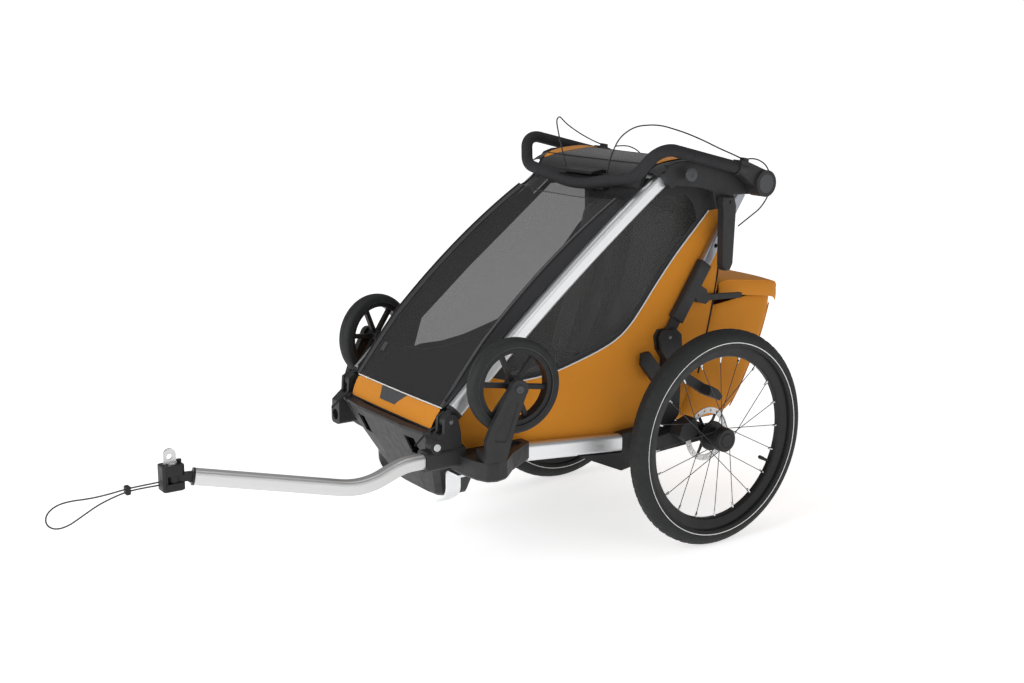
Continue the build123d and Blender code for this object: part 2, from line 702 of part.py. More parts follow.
CABLE_LEFT = [
    (158, 72, 831), (147, 76, 878), (134, 88, 916), (112, 114, 940), (79, 154, 945),
    (42, 198, 929), (8, 222, 912), (-26, 238, 894), (-60, 247, 880), (-92, 250, 867),
]
CABLE_RIGHT = [
    (158, -72, 831), (166, -80, 872), (169, -92, 912), (165, -108, 944), (141, -128, 952),
    (106, -150, 934), (68, -173, 919), (28, -197, 905), (-12, -219, 892), (-50, -238, 880),
    (-92, -249, 867),
]
CABLE_TAIL = [
    (-112, 228, 866), (-152, 226, 866), (-188, 224, 850), (-208, 222, 818), (-205, 220, 780),
    (-182, 217.5, 750), (-150, 216, 732), (-116, 215, 713),
]
TETHER = [
    (1230, 100, 318), (1257, 94.5, 315.5), (1285, 88, 312.5), (1318, 80, 305.5), (1352, 75, 302),
    (1384, 74, 304), (1412, 74.5, 301), (1431, 75, 287), (1432, 75.5, 268), (1417, 76, 256),
    (1394, 76.5, 258), (1368, 78, 272), (1338, 80.5, 289), (1311, 84.5, 299.5), (1286, 88.5, 307),
    (1258, 94.5, 310.5), (1230, 100, 312),
]


def make_brake_cables():
    write(Compound(children=[cord(CABLE_LEFT, 3.2), cord(CABLE_RIGHT, 3.2)]), "brake_cables")
    tail = cord(CABLE_TAIL, 3.2)
    write(Compound(children=[tail, mirror(tail, about=Plane.XZ)]), "brake_cable_tails")


# ---------------------------------------------------------------- stroller wheels
def caster_side(offset):
    """Side view of the left caster, offset outward from its wheel plane; it extrudes inward."""
    ahead = cos(radians(CASTER_TOE))
    out = sin(radians(CASTER_TOE))
    return Plane(
        origin=place(CASTER) + Vector(offset * out, offset * ahead, 0),
        x_dir=(ahead, -out, 0), z_dir=(-out, -ahead, 0),
    )


def make_casters():
    hub_r = 14
    top = 318 - CASTER[2]
    bottom = 300.3 - CASTER[2]
    with BuildPart() as stems:
        with BuildSketch(level(WING_Z + 9)) as body:
            with Locations(STEM):
                Circle(11)
        extrude(amount=291 - WING_Z)
        with BuildSketch(level(300)) as pin:
            with Locations(STEM):
                Circle(8)
        extrude(amount=14)
        mirror(about=Plane.XZ)
    write(stems.part, "caster_stems")

    with BuildPart() as fork:
        with BuildSketch(caster_side(33)) as arm:
            with BuildLine():
                Polyline((-17, -6), (17, 8), (58, -66), (72, -100), (72, bottom), (28, bottom), (8, -72), close=True)
            make_face()
            Circle(19)
        extrude(amount=13.5)
        with BuildSketch(caster_side(33)) as recess:
            with BuildLine():
                Polyline((3, -28), (21, -22), (50, -84), (54, -102), (30, -106), (24, -94), close=True)
            make_face()
        extrude(amount=1.5, mode=Mode.SUBTRACT)
        with BuildSketch(caster_side(33)) as base:
            with BuildLine():
                Polyline((28, bottom), (72, bottom), (72, top), (28, top), close=True)
            make_face()
        extrude(amount=53)
        with BuildSketch(level(290)) as swivel:
            with Locations(STEM):
                Circle(8 + RUN)
        extrude(amount=24.5, mode=Mode.SUBTRACT)
        with BuildSketch(caster_side(40)) as axle_room:
            Circle(5)
        extrude(amount=60, mode=Mode.SUBTRACT)
    with BuildPart() as bolt:
        with BuildSketch(caster_side(33)) as shank:
            Circle(5)
        extrude(amount=48.5)
        with BuildSketch(caster_side(-15.5)) as head:
            Circle(8)
        extrude(amount=4)
    write_left_and_right(Compound(children=[fork.part, bolt.part]), "caster_{}_fork")

    with BuildPart() as tyre:
        with BuildSketch(caster_side(17)) as ring:
            Circle(CASTER_R)
            Circle(82, mode=Mode.SUBTRACT)
        extrude(amount=34)
        fillet(tyre.edges().filter_by(GeomType.CIRCLE).group_by(SortBy.RADIUS)[-1], 11)
    write_left_and_right(tyre.part, "caster_{}_tyre")

    with BuildPart() as rim:
        with BuildSketch(caster_side(13)) as ring:
            Circle(82)
            Circle(70, mode=Mode.SUBTRACT)
        extrude(amount=26)
        with BuildSketch(caster_side(5)) as spokes:
            with PolarLocations(0, 6, start_angle=7):
                with Locations((42, 0)):
                    Rectangle(60, 10)
            Circle(10, mode=Mode.SUBTRACT)
        extrude(amount=10)
        with BuildSketch(caster_side(15)) as hub:
            Circle(hub_r)
        extrude(amount=30)
        with BuildSketch(caster_side(20)) as bore:
            Circle(5 + RUN)
        extrude(amount=40, mode=Mode.SUBTRACT)
    write_left_and_right(rim.part, "caster_{}_rim")


# ---------------------------------------------------------------- hitch arm
def make_drawbar():
    route = [(723, 205, 297), (768, 205, 297), (858, 203, 263), (1168, 121, 324)]
    with BuildLine() as line:
        FilletPolyline(*[place(spot) for spot in route], radius=[120, 150])
    curve = line.wires()[0]
    with BuildPart() as tube:
        with BuildSketch(Plane(origin=curve @ 0, x_dir=(0, 1, 0), z_dir=curve % 0)) as section:
            RectangleRounded(30, 30, 9)
            RectangleRounded(26, 26, 7, mode=Mode.SUBTRACT)
        sweep(path=curve)
    write(tube.part, "drawbar_tube")

    end = Plane(origin=curve @ 1, z_dir=curve % 1)
    eye_low = HEAD_GAP[0] + GAP
    eye_high = HEAD_GAP[1] - GAP
    with BuildPart() as fittings:
        with BuildSketch(across(645)) as plug:
            with Locations(RECEIVER):
                Circle(SOCKET_R - RUN)
        extrude(amount=78)
        with BuildSketch(across(723)) as root:
            with Locations(RECEIVER):
                RectangleRounded(25.9, 25.9, 7)
        extrude(amount=16)
        with BuildSketch(end) as stopper:
            Circle(12.9)
        extrude(amount=-26)
        with BuildSketch(end) as collar:
            Circle(17)
        extrude(amount=4)
        with BuildSketch(Plane(origin=place((1166, 121.5, 323.5)), z_dir=(38, -9, 0))) as neck:
            Circle(10)
        extrude(amount=13)
        extrude(plan([(1168, 111), (1206, 102), (1206, 122), (1171, 131)], eye_low), amount=eye_high - eye_low)
        with BuildSketch(level(eye_low)) as eye:
            with Locations(HITCH):
                Circle(14)
        extrude(amount=eye_high - eye_low)
        with BuildSketch(level(300)) as pin_room:
            with Locations(HITCH):
                Circle(5 + RUN)
        extrude(amount=50, mode=Mode.SUBTRACT)
    write(fittings.part, "drawbar_fittings")

    with BuildPart() as button:
        extrude(disc(BUTTON, 7.5, 227), amount=9.5)
        chamfer(button.faces().sort_by(Axis.Y)[-1].edges(), 1)
    write(button.part, "drawbar_button")


def make_hitch():
    """Swivelling head with its pin, the tab for the bicycle's axle, and the safety tether."""
    low = 303
    high = 353
    body = [(1188, 99), (1193, 96), (FRONT_REACH - 4, 96), (FRONT_REACH, 100), (FRONT_REACH, 124),
            (FRONT_REACH - 4, 128), (1193, 128), (1188, 125)]
    gap = [(1180, 90), (1221, 90), (1221, 135), (1180, 135)]
    with BuildPart() as head:
        extrude(plan(body, low), amount=high - low)
        chamfer(head.faces().sort_by(Axis.Z)[0].edges(), 2)
        with BuildSketch(level(high)) as knob:
            with Locations((1191, 106)):
                Circle(5)
        extrude(amount=5)
        extrude(disc((1218, 314.5), 6.5, 130), amount=4)
        extrude(plan(gap, HEAD_GAP[0]), amount=HEAD_GAP[1] - HEAD_GAP[0], mode=Mode.SUBTRACT)
        with BuildSketch(level(low - 2)) as pin_hole:
            with Locations(HITCH):
                Circle(5)
        extrude(amount=high - low + 4, mode=Mode.SUBTRACT)
    with BuildPart() as pin:
        with BuildSketch(level(low)) as rod:
            with Locations(HITCH):
                Circle(5)
        extrude(amount=high - low)
    write(Compound(children=[head.part, pin.part]), "hitch_head")

    with BuildPart() as tab:
        with BuildSketch(level(high + GAP)) as base:
            with Locations(HITCH):
                Circle(9)
        extrude(amount=3.7)
        with BuildSketch(side(HITCH[1] + 2)) as plate:
            with Locations((HITCH[0] + 4.75, 371.75)):
                Circle(11.75)
            with Locations((HITCH[0] + 4.75, 363)):
                Rectangle(23.5, 17.5)
            with Locations((HITCH[0] + 5.5, 368)):
                Circle(5.5, mode=Mode.SUBTRACT)
        extrude(amount=4)
    write(tab.part, "axle_tab")

    write(cord(TETHER, 3), "tether_cord")
    with BuildPart() as slider:
        with BuildSketch(side(94)) as block:
            with Locations((1285, 310)):
                RectangleRounded(10, 17, 3)
        extrude(amount=11)
    write(slider.part, "tether_slider")


make_wheel()
make_swing_arm()
make_side_rails()
make_front_castings()
make_rear_castings()
make_cross_tubes()
make_footwell()
make_cabin()
make_cargo_bag()
make_pins()
make_brake_pedal()
make_pillars()
make_top_arms()
make_front_cover()
make_legs()
make_handlebar()
make_brake_cables()
make_casters()
make_drawbar()
make_hitch()
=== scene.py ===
"""Looks of the child bicycle trailer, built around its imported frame."""
from math import cos, exp, hypot, pi, radians, sin

import bmesh
import bpy
from mathutils import Matrix, Vector
from mathutils.geometry import delaunay_2d_cdt


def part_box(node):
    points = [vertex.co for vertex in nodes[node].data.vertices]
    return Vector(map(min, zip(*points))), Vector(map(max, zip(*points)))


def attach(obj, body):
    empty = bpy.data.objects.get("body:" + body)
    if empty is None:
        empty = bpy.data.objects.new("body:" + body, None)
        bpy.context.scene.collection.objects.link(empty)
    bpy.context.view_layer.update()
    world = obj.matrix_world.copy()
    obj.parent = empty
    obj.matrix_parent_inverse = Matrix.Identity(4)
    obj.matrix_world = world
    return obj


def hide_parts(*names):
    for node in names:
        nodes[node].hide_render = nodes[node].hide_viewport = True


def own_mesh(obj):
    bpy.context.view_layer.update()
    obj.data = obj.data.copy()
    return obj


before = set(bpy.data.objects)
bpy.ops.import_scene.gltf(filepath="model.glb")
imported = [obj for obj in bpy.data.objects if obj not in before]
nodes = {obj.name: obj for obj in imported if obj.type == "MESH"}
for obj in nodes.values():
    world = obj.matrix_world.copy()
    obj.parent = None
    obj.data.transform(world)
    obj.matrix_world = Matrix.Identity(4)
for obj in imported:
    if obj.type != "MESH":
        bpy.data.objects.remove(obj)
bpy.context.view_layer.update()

SIDES = (("left", 1), ("right", -1))

tyre_low, tyre_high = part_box("wheel_left_tyre")
AXLE_X = (tyre_low.x + tyre_high.x) / 2
WHEEL_Y = (tyre_low.y + tyre_high.y) / 2
WHEEL_R = (tyre_high.z - tyre_low.z) / 2
WHEEL_MM = WHEEL_R * 1000
WHEEL_SIDE = WHEEL_Y * 1000
panel_low, panel_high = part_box("upper_side_panels")
PANEL_Y = panel_high.y * 1000
SILL = panel_low.z * 1000
TYRE_SECTION = 23.3
TYRE_CORE = 226.5
SHARP_EDGE = radians(48)
WEAVE_SCALE = 0.314
PAD_VOXEL = 0.0055
PAD_PRESSURE = 4.0
PAD_FRAMES = 20
SKY = 0.3
LIGHTS = (
    ("front", (3.4, 0.6, 2.0), 1.8, 66),
    ("side", (0.4, 4.2, 2.6), 2.2, 24),
    ("top", (-0.4, -0.6, 3.6), 2.0, 13),
)


def p(x, y, z):
    """A point given in millimetres: ahead of the axle, left, up."""
    return Vector((AXLE_X + x / 1000, y / 1000, z / 1000))


# ---------------------------------------------------------------- materials
def material(name, slot, colour, roughness, metallic=0.0):
    made = bpy.data.materials.new(name)
    made.use_nodes = True
    made["slot"] = slot
    shader = made.node_tree.nodes["Principled BSDF"]
    shader.inputs["Base Color"].default_value = (*colour, 1)
    shader.inputs["Roughness"].default_value = roughness
    shader.inputs["Metallic"].default_value = metallic
    shader.inputs["Specular IOR Level"].default_value = 0.32
    return made, made.node_tree.nodes, made.node_tree.links, shader


def noise(tree_nodes, links, scale, detail=4.0, stretch=(1, 1, 1)):
    place = tree_nodes.new("ShaderNodeTexCoord")
    mapping = tree_nodes.new("ShaderNodeMapping")
    mapping.inputs["Scale"].default_value = stretch
    texture = tree_nodes.new("ShaderNodeTexNoise")
    texture.inputs["Scale"].default_value = scale
    texture.inputs["Detail"].default_value = detail
    links.new(place.outputs["Object"], mapping.inputs["Vector"])
    links.new(mapping.outputs["Vector"], texture.inputs["Vector"])
    return texture.outputs["Fac"]


def vary_roughness(tree_nodes, links, shader, source, low, high):
    """Spreads the roughness between two values over the middle of the source's range."""
    ranged = tree_nodes.new("ShaderNodeMapRange")
    ranged.inputs["To Min"].default_value = low
    ranged.inputs["To Max"].default_value = high
    ranged.inputs["From Min"].default_value = 0.3
    ranged.inputs["From Max"].default_value = 0.7
    links.new(source, ranged.inputs["Value"])
    links.new(ranged.outputs["Result"], shader.inputs["Roughness"])


def vary_colour(tree_nodes, links, shader, source, colour, change):
    """Mixes the base colour between a darker and a lighter tone."""
    mix = tree_nodes.new("ShaderNodeMix")
    mix.data_type = "RGBA"
    mix.inputs["A"].default_value = (*[c * (1 - change) for c in colour], 1)
    mix.inputs["B"].default_value = (*[min(1, c * (1 + change)) for c in colour], 1)
    links.new(source, mix.inputs["Factor"])
    links.new(mix.outputs["Result"], shader.inputs["Base Color"])


def bump(tree_nodes, links, shader, source, distance, strength, rounding=0.0):
    relief = tree_nodes.new("ShaderNodeBump")
    relief.inputs["Distance"].default_value = distance
    relief.inputs["Strength"].default_value = strength
    links.new(source, relief.inputs["Height"])
    if rounding:
        edge = tree_nodes.new("ShaderNodeBevel")
        edge.inputs["Radius"].default_value = rounding
        links.new(edge.outputs["Normal"], relief.inputs["Normal"])
    links.new(relief.outputs["Normal"], shader.inputs["Normal"])


def bands(tree_nodes, links, axis, pitch):
    """Fine parallel ribs across one axis, one every pitch metres."""
    place = tree_nodes.new("ShaderNodeTexCoord")
    wave = tree_nodes.new("ShaderNodeTexWave")
    wave.bands_direction = axis
    wave.inputs["Scale"].default_value = WEAVE_SCALE / pitch
    wave.inputs["Distortion"].default_value = 0.4
    wave.inputs["Detail Scale"].default_value = 2
    links.new(place.outputs["Object"], wave.inputs["Vector"])
    return wave.outputs["Fac"]


def calculate(tree_nodes, links, operation, first, second):
    math_node = tree_nodes.new("ShaderNodeMath")
    math_node.operation = operation
    for index, value in enumerate((first, second)):
        if isinstance(value, float):
            math_node.inputs[index].default_value = value
        else:
            links.new(value, math_node.inputs[index])
    return math_node.outputs["Value"]


def plastic(name, slot, colour, roughness, rounding=0.0012, grain=900):
    made, tree_nodes, links, shader = material(name, slot, colour, roughness)
    blotches = noise(tree_nodes, links, 14)
    vary_colour(tree_nodes, links, shader, blotches, colour, 0.12)
    rub = noise(tree_nodes, links, 60)
    vary_roughness(tree_nodes, links, shader, rub, roughness - 0.06, roughness + 0.08)
    bump(tree_nodes, links, shader, noise(tree_nodes, links, grain, 2), 0.00025, 0.35, rounding)
    return made


def metal(name, slot, colour, roughness):
    """Metal brushed along X, with its edges slightly rounded."""
    made, tree_nodes, links, shader = material(name, slot, colour, roughness, 1.0)
    brushed = noise(tree_nodes, links, 900, 3, (0.05, 1, 1))
    vary_colour(tree_nodes, links, shader, brushed, colour, 0.05)
    vary_roughness(tree_nodes, links, shader, brushed, roughness - 0.06, roughness + 0.08)
    bump(tree_nodes, links, shader, brushed, 0.00008, 0.3, 0.0005)
    return made


def cloth(name, slot, colour, pitch=0.0009, sheen=0.25, roughness=0.85):
    """Woven cloth: threads one every pitch metres, fine fibres and broad wear."""
    made, tree_nodes, links, shader = material(name, slot, colour, roughness)
    shader.inputs["Sheen Weight"].default_value = sheen
    shader.inputs["Sheen Roughness"].default_value = 0.5
    shader.inputs["Specular IOR Level"].default_value = 0.3
    across = bands(tree_nodes, links, "X", pitch)
    along = bands(tree_nodes, links, "Z", pitch)
    sideways = bands(tree_nodes, links, "Y", pitch)
    threads = calculate(tree_nodes, links, "ADD", across, along)
    threads = calculate(tree_nodes, links, "ADD", threads, sideways)
    fibre = noise(tree_nodes, links, 420, 3)
    wear = noise(tree_nodes, links, 9, 5)
    tone = calculate(tree_nodes, links, "MULTIPLY", calculate(tree_nodes, links, "ADD", fibre, wear), 0.5)
    vary_colour(tree_nodes, links, shader, tone, colour, 0.1)
    bump(tree_nodes, links, shader, calculate(tree_nodes, links, "ADD", threads, fibre), 0.0003, 0.4)
    return made


def net(name, slot, colour, pitch, thin, thick):
    """See-through woven mesh: the threads hide more than the gaps between them."""
    made, tree_nodes, links, shader = material(name, slot, colour, 0.75)
    shader.inputs["Specular IOR Level"].default_value = 0.2
    across = bands(tree_nodes, links, "Y", pitch)
    along = bands(tree_nodes, links, "X", pitch)
    threads = calculate(tree_nodes, links, "MAXIMUM", across, along)
    cover = tree_nodes.new("ShaderNodeMapRange")
    cover.inputs["To Min"].default_value = thin
    cover.inputs["To Max"].default_value = thick
    links.new(threads, cover.inputs["Value"])
    links.new(cover.outputs["Result"], shader.inputs["Alpha"])
    vary_colour(tree_nodes, links, shader, noise(tree_nodes, links, 30), colour, 0.12)
    bump(tree_nodes, links, shader, threads, 0.0003, 0.4)
    return made


def film(name, slot, colour, alpha, roughness):
    """Tinted see-through film with soft wrinkles."""
    made, tree_nodes, links, shader = material(name, slot, colour, roughness)
    shader.inputs["Alpha"].default_value = alpha
    wrinkles = noise(tree_nodes, links, 16, 3)
    vary_roughness(tree_nodes, links, shader, wrinkles, roughness, roughness + 0.12)
    vary_colour(tree_nodes, links, shader, noise(tree_nodes, links, 6), colour, 0.15)
    bump(tree_nodes, links, shader, wrinkles, 0.0012, 0.12)
    return made


CHARCOAL = plastic("charcoal plastic", "charcoal", (0.020, 0.020, 0.021), 0.5)
DARK = plastic("black plastic", "charcoal", (0.009, 0.009, 0.010), 0.42)
GREY = plastic("grey plastic", "charcoal", (0.055, 0.057, 0.061), 0.5)
FOAM = plastic("grip foam", "grip", (0.018, 0.018, 0.02), 0.75, 0.0, 1500)
RUBBER = plastic("tyre rubber", "tyre", (0.017, 0.018, 0.018), 0.7, 0.0, 700)
ALUMINIUM = metal("satin aluminium", "aluminium", (0.76, 0.77, 0.78), 0.4)
# Darker copy of the satin aluminium: painted shade, so that the drawbar, axle tab and rotors keep grey
# undersides instead of reflecting the bright floor as white.
SHADED_ALUMINIUM = metal("aluminium with painted shade", "aluminium", (0.6, 0.6, 0.6), 0.42)
GREY_ALUMINIUM = metal("grey aluminium", "aluminium", (0.36, 0.37, 0.40), 0.42)
STEEL = metal("steel", "steel", (0.72, 0.73, 0.75), 0.24)
DARK_STEEL = metal("black steel", "steel", (0.07, 0.07, 0.074), 0.36)
ORANGE = cloth("orange cloth", "orange_cloth", (0.63, 0.232, 0.0125), sheen=0.1)
BLACK_CLOTH = cloth("black cloth", "dark_cloth", (0.022, 0.022, 0.024), 0.0011)
PAD_CLOTH = cloth("seat cloth", "pad", (0.075, 0.077, 0.085), 0.0016, 0.35)
WEBBING = cloth("webbing", "dark_cloth", (0.014, 0.014, 0.015), 0.0022, 0.15, 0.7)
BINDING = cloth("binding", "dark_cloth", (0.012, 0.012, 0.013), 0.0012, 0.1)
PIPING = cloth("reflective piping", "dark_cloth", (0.72, 0.72, 0.70), 0.0012, 0.1, 0.45)
NET = net("cover mesh", "mesh", (0.042, 0.042, 0.043), 0.0022, 0.46, 0.70)
WINDOW = film("window film", "window", (0.036, 0.035, 0.034), 0.64, 0.22)
STRIPE = plastic("reflective stripe", "tyre", (0.78, 0.78, 0.76), 0.35, 0.0)
CABLE = plastic("cable sheath", "cable", (0.012, 0.012, 0.012), 0.35, 0.0)
CORD = cloth("tether braid", "cord", (0.05, 0.05, 0.05), 0.0012, 0.1)
LIGHT_GREY = plastic("pale plastic", "charcoal", (0.55, 0.56, 0.57), 0.4)


# ---------------------------------------------------------------- mesh helpers
def apply_modifiers(obj):
    depsgraph = bpy.context.evaluated_depsgraph_get()
    final = bpy.data.meshes.new_from_object(obj.evaluated_get(depsgraph))
    obj.modifiers.clear()
    obj.data = final


def add(name, verts, faces, look, body, smooth=True, thickness=0.0, rounding=0.0, subdivide=0):
    """A piece from its points and faces, with its wall, bevel and subdivision applied."""
    mesh = bpy.data.meshes.new(name)
    mesh.from_pydata([tuple(vert) for vert in verts], [], faces)
    mesh.validate()
    obj = bpy.data.objects.new(name, mesh)
    bpy.context.scene.collection.objects.link(obj)
    work = bmesh.new()
    work.from_mesh(mesh)
    bmesh.ops.remove_doubles(work, verts=work.verts, dist=1e-6)
    bmesh.ops.recalc_face_normals(work, faces=work.faces)
    work.to_mesh(mesh)
    work.free()
    if thickness:
        wall = obj.modifiers.new("wall", "SOLIDIFY")
        wall.thickness = thickness
        wall.offset = 0
    if rounding:
        edge = obj.modifiers.new("edge", "BEVEL")
        edge.width = rounding
        edge.segments = 2
        edge.limit_method = "ANGLE"
    if subdivide:
        soften = obj.modifiers.new("soften", "SUBSURF")
        soften.levels = subdivide
        soften.render_levels = subdivide
    bpy.context.view_layer.update()
    if obj.modifiers:
        apply_modifiers(obj)
    obj.data.materials.clear()
    obj.data.materials.append(look)
    if smooth:
        obj.data.shade_smooth()
        obj.data.set_sharp_from_angle(angle=SHARP_EDGE)
    else:
        obj.data.shade_flat()
    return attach(obj, body)


def grid(name, rows, look, body, closed=False, **options):
    """A surface through rows of points."""
    count = len(rows[0])
    verts = [point for row in rows for point in row]
    faces = []
    steps = count if closed else count - 1
    for r in range(len(rows) - 1):
        for c in range(steps):
            d = (c + 1) % count
            faces.append((r * count + c, r * count + d, (r + 1) * count + d, (r + 1) * count + c))
    return add(name, verts, faces, look, body, **options)


def inside(point, polygon):
    x, z = point
    hit = False
    for (ax, az), (bx, bz) in zip(polygon, polygon[1:] + polygon[:1]):
        if (az > z) != (bz > z) and x < (bx - ax) * (z - az) / (bz - az) + ax:
            hit = not hit
    return hit


def edge_distance(point, polygon):
    best = 1e9
    for (ax, az), (bx, bz) in zip(polygon, polygon[1:] + polygon[:1]):
        dx, dz = bx - ax, bz - az
        t = max(0, min(1, ((point[0] - ax) * dx + (point[1] - az) * dz) / (dx * dx + dz * dz)))
        best = min(best, hypot(point[0] - ax - t * dx, point[1] - az - t * dz))
    return best


def tidy_loop(outline):
    """The outline without points that repeat."""
    kept = []
    for spot in outline:
        if not kept or hypot(spot[0] - kept[-1][0], spot[1] - kept[-1][1]) > 0.01:
            kept.append(spot)
    return kept[:-1] if kept[0] == kept[-1] else kept


def fill(outline, holes=(), spacing=15.0):
    """Triangles that fill a flat outline (in mm) around its holes, with points on a regular grid inside."""
    outline = tidy_loop(outline)
    points = []
    edges = []
    for loop in [outline, *holes]:
        first = len(points)
        for (ax, az), (bx, bz) in zip(loop, loop[1:] + loop[:1]):
            steps = max(1, round(hypot(bx - ax, bz - az) / spacing))
            points += [(ax + (bx - ax) * k / steps, az + (bz - az) * k / steps) for k in range(steps)]
        count = len(points) - first
        edges += [(first + k, first + (k + 1) % count) for k in range(count)]
    low_x, high_x = min(x for x, _ in outline), max(x for x, _ in outline)
    low_z, high_z = min(z for _, z in outline), max(z for _, z in outline)
    for i in range(1, int((high_x - low_x) / spacing) + 1):
        for j in range(1, int((high_z - low_z) / spacing) + 1):
            spot = (low_x + i * spacing + (j % 2) * spacing / 2, low_z + j * spacing)
            clear = edge_distance(spot, outline) > spacing * 0.5 and inside(spot, outline)
            clear = clear and all(edge_distance(spot, hole) > spacing * 0.5 for hole in holes)
            if clear and not any(inside(spot, hole) for hole in holes):
                points.append(spot)
    verts, _, faces, _, _, _ = delaunay_2d_cdt([Vector(q) for q in points], edges, [], 0, 1e-5)
    kept = []
    for face in faces:
        middle = sum((verts[k] for k in face), Vector((0, 0))) / len(face)
        if inside(middle, outline) and not any(inside(middle, hole) for hole in holes):
            kept.append(tuple(face))
    return [(v.x, v.y) for v in verts], kept


def side_cloth(name, outline, look, body, y, seams=(), bulge=0.0, reach=25.0, spacing=15.0, thickness=0.0012):
    """Cloth in the side view at y, puffed outward away from its seams."""
    outline = tidy_loop(outline)
    spots, faces = fill(outline, (), spacing)
    sign = 1 if y > 0 else -1
    verts = []
    for spot in spots:
        depth = edge_distance(spot, seams or outline)
        verts.append(p(spot[0], y + sign * bulge * (1 - exp(-depth / reach)), spot[1]))
    return add(name, verts, faces, look, body, thickness=thickness)


def side_plate(name, outline, look, body, y_low, y_high, holes=(), rounding=0.001):
    """A hard flat piece in the side view between two y values."""
    spots, faces = fill(outline, holes, 1e4)
    count = len(spots)
    verts = [p(x, y_low, z) for x, z in spots] + [p(x, y_high, z) for x, z in spots]
    both = [tuple(face) for face in faces] + [tuple(k + count for k in reversed(face)) for face in faces]
    uses = {}
    for face in faces:
        for a, b in zip(face, face[1:] + face[:1]):
            uses.setdefault(frozenset((a, b)), []).append((a, b))
    walls = [(b, a, a + count, b + count) for (a, b), *rest in uses.values() if not rest]
    return add(name, verts, both + walls, look, body, smooth=False, rounding=rounding)


def lathe(name, profile, centre, axis, look, body, segments=48, closed=True):
    """Turns (offset along the axis, radius) points, in mm, about the axis through centre."""
    axis = Vector(axis).normalized()
    first = axis.orthogonal().normalized()
    second = axis.cross(first)
    rows = []
    for k in range(segments + 1):
        turn = 2 * pi * k / segments
        out = first * cos(turn) + second * sin(turn)
        rows.append([centre + axis * off / 1000 + out * radius / 1000 for off, radius in profile])
    return grid(name, rows, look, body, closed=closed)


def curve(name, points, radius, look, body, closed=False, resolution=8, keep_curve=False):
    """A round cord or piping on one smooth line through given points."""
    data = bpy.data.curves.new(name, "CURVE")
    data.dimensions = "3D"
    data.bevel_depth = radius / 1000
    data.bevel_resolution = 4
    data.resolution_u = resolution
    data.use_fill_caps = True
    line = data.splines.new("NURBS")
    line.points.add(len(points) - 1)
    for spot, point in zip(line.points, points):
        spot.co = (*point, 1)
    line.order_u = 3
    line.use_endpoint_u = not closed
    line.use_cyclic_u = closed
    obj = bpy.data.objects.new(name, data)
    bpy.context.scene.collection.objects.link(obj)
    data.materials.append(look)
    if not keep_curve:
        bpy.context.view_layer.update()
        depsgraph = bpy.context.evaluated_depsgraph_get()
        mesh = bpy.data.meshes.new_from_object(obj.evaluated_get(depsgraph))
        bpy.data.objects.remove(obj)
        obj = bpy.data.objects.new(name, mesh)
        bpy.context.scene.collection.objects.link(obj)
        mesh.shade_smooth()
    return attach(obj, body)


def strap(name, points, across, width, look, body, thickness):
    """Flat webbing along points, with its width along the across direction."""
    half = Vector(across).normalized() * width / 2000
    rows = [[point - half, point, point + half] for point in points]
    return grid(name, rows, look, body, thickness=thickness, subdivide=1)


def dress(look, *names):
    """Gives carried-over CAD nodes their material."""
    for name in names:
        nodes[name].data.materials.clear()
        nodes[name].data.materials.append(look)


# ---------------------------------------------------------------- CAD nodes that stay
dress(ALUMINIUM, "side_rails", "cross_tubes", "footwell_brackets", "pillars", "roof_cross_tube")
dress(GREY_ALUMINIUM, "leg_tubes")
# The drawbar tube and axle tab take the darker aluminium copy: painted shade.
dress(SHADED_ALUMINIUM, "drawbar_tube", "axle_tab")
dress(STEEL, "frame_pins", "caster_stems")
dress(CHARCOAL, "front_castings", "rear_castings", "footwell_bumper", "pillar_feet", "top_arms")
dress(CHARCOAL, "handlebar_hubs", "brake_pedal", "leg_sleeves", "fold_levers", "cabin_floor", "brake_housing")
dress(DARK, "drawbar_fittings", "hitch_head", "tether_slider", "brake_lever")
dress(LIGHT_GREY, "drawbar_button")
dress(FOAM, "handlebar_tube")
dress(CABLE, "brake_cables", "brake_cable_tails")
for label, _ in SIDES:
    dress(DARK, f"wheel_{label}_hub", f"wheel_{label}_release_button")
    dress(DARK, f"wheel_{label}_rim", f"caster_{label}_rim")
    dress(CHARCOAL, f"swing_arm_{label}", f"caster_{label}_fork")
    dress(GREY, f"handlebar_button_{label}")
    dress(DARK_STEEL, f"wheel_{label}_spokes")


# ---------------------------------------------------------------- wheels
def tread(turn, offset):
    """How far the tread's grooves cut in, in mm, at a turn and an offset from the middle."""
    side = abs(offset)
    if side < 2.2:
        return 1.2
    lug = (turn * 60 / (2 * pi) + (0.5 if offset > 0 else 0) + side * 0.03) % 1
    if 4 < side < 17 and lug < 0.2:
        return 1.3
    return 0.0


def make_tyre(label, sign):
    steps = 480
    section = 30
    rows = []
    for k in range(steps + 1):
        turn = 2 * pi * (k % steps) / steps
        row = []
        for j in range(section):
            around = radians(-125 + 250 * j / (section - 1))
            offset = TYRE_SECTION * sin(around)
            radius = TYRE_CORE + TYRE_SECTION * cos(around)
            radius -= tread(turn, offset) * max(0, cos(around))
            row.append(p(radius * cos(turn), (WHEEL_SIDE + offset) * sign, WHEEL_MM + radius * sin(turn)))
        rows.append(row)
    tyre = grid(f"tyre_{label}", rows, RUBBER, f"wheel_{label}", closed=True)
    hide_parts(f"wheel_{label}_tyre")
    for edge in (-1, 1):
        around = radians(102 * edge)
        profile = []
        for turn, lift in ((-2.2, 0.0), (-2.0, 0.35), (2.0, 0.35), (2.2, 0.0), (0, -0.6)):
            angle = around + radians(turn)
            reach = TYRE_SECTION + lift
            profile.append((reach * sin(angle), TYRE_CORE + reach * cos(angle)))
        centre = p(0, WHEEL_SIDE * sign, WHEEL_MM)
        lathe(f"tyre_stripe_{label}_{edge + 2}", profile, centre, (0, 1, 0), STRIPE, f"wheel_{label}", 160)


def ring_points(radius, count, x=0.0, z=WHEEL_MM):
    """Points round a circle in the side view."""
    return [(x + radius * cos(a), z + radius * sin(a)) for a in (2 * pi * n / count for n in range(count))]


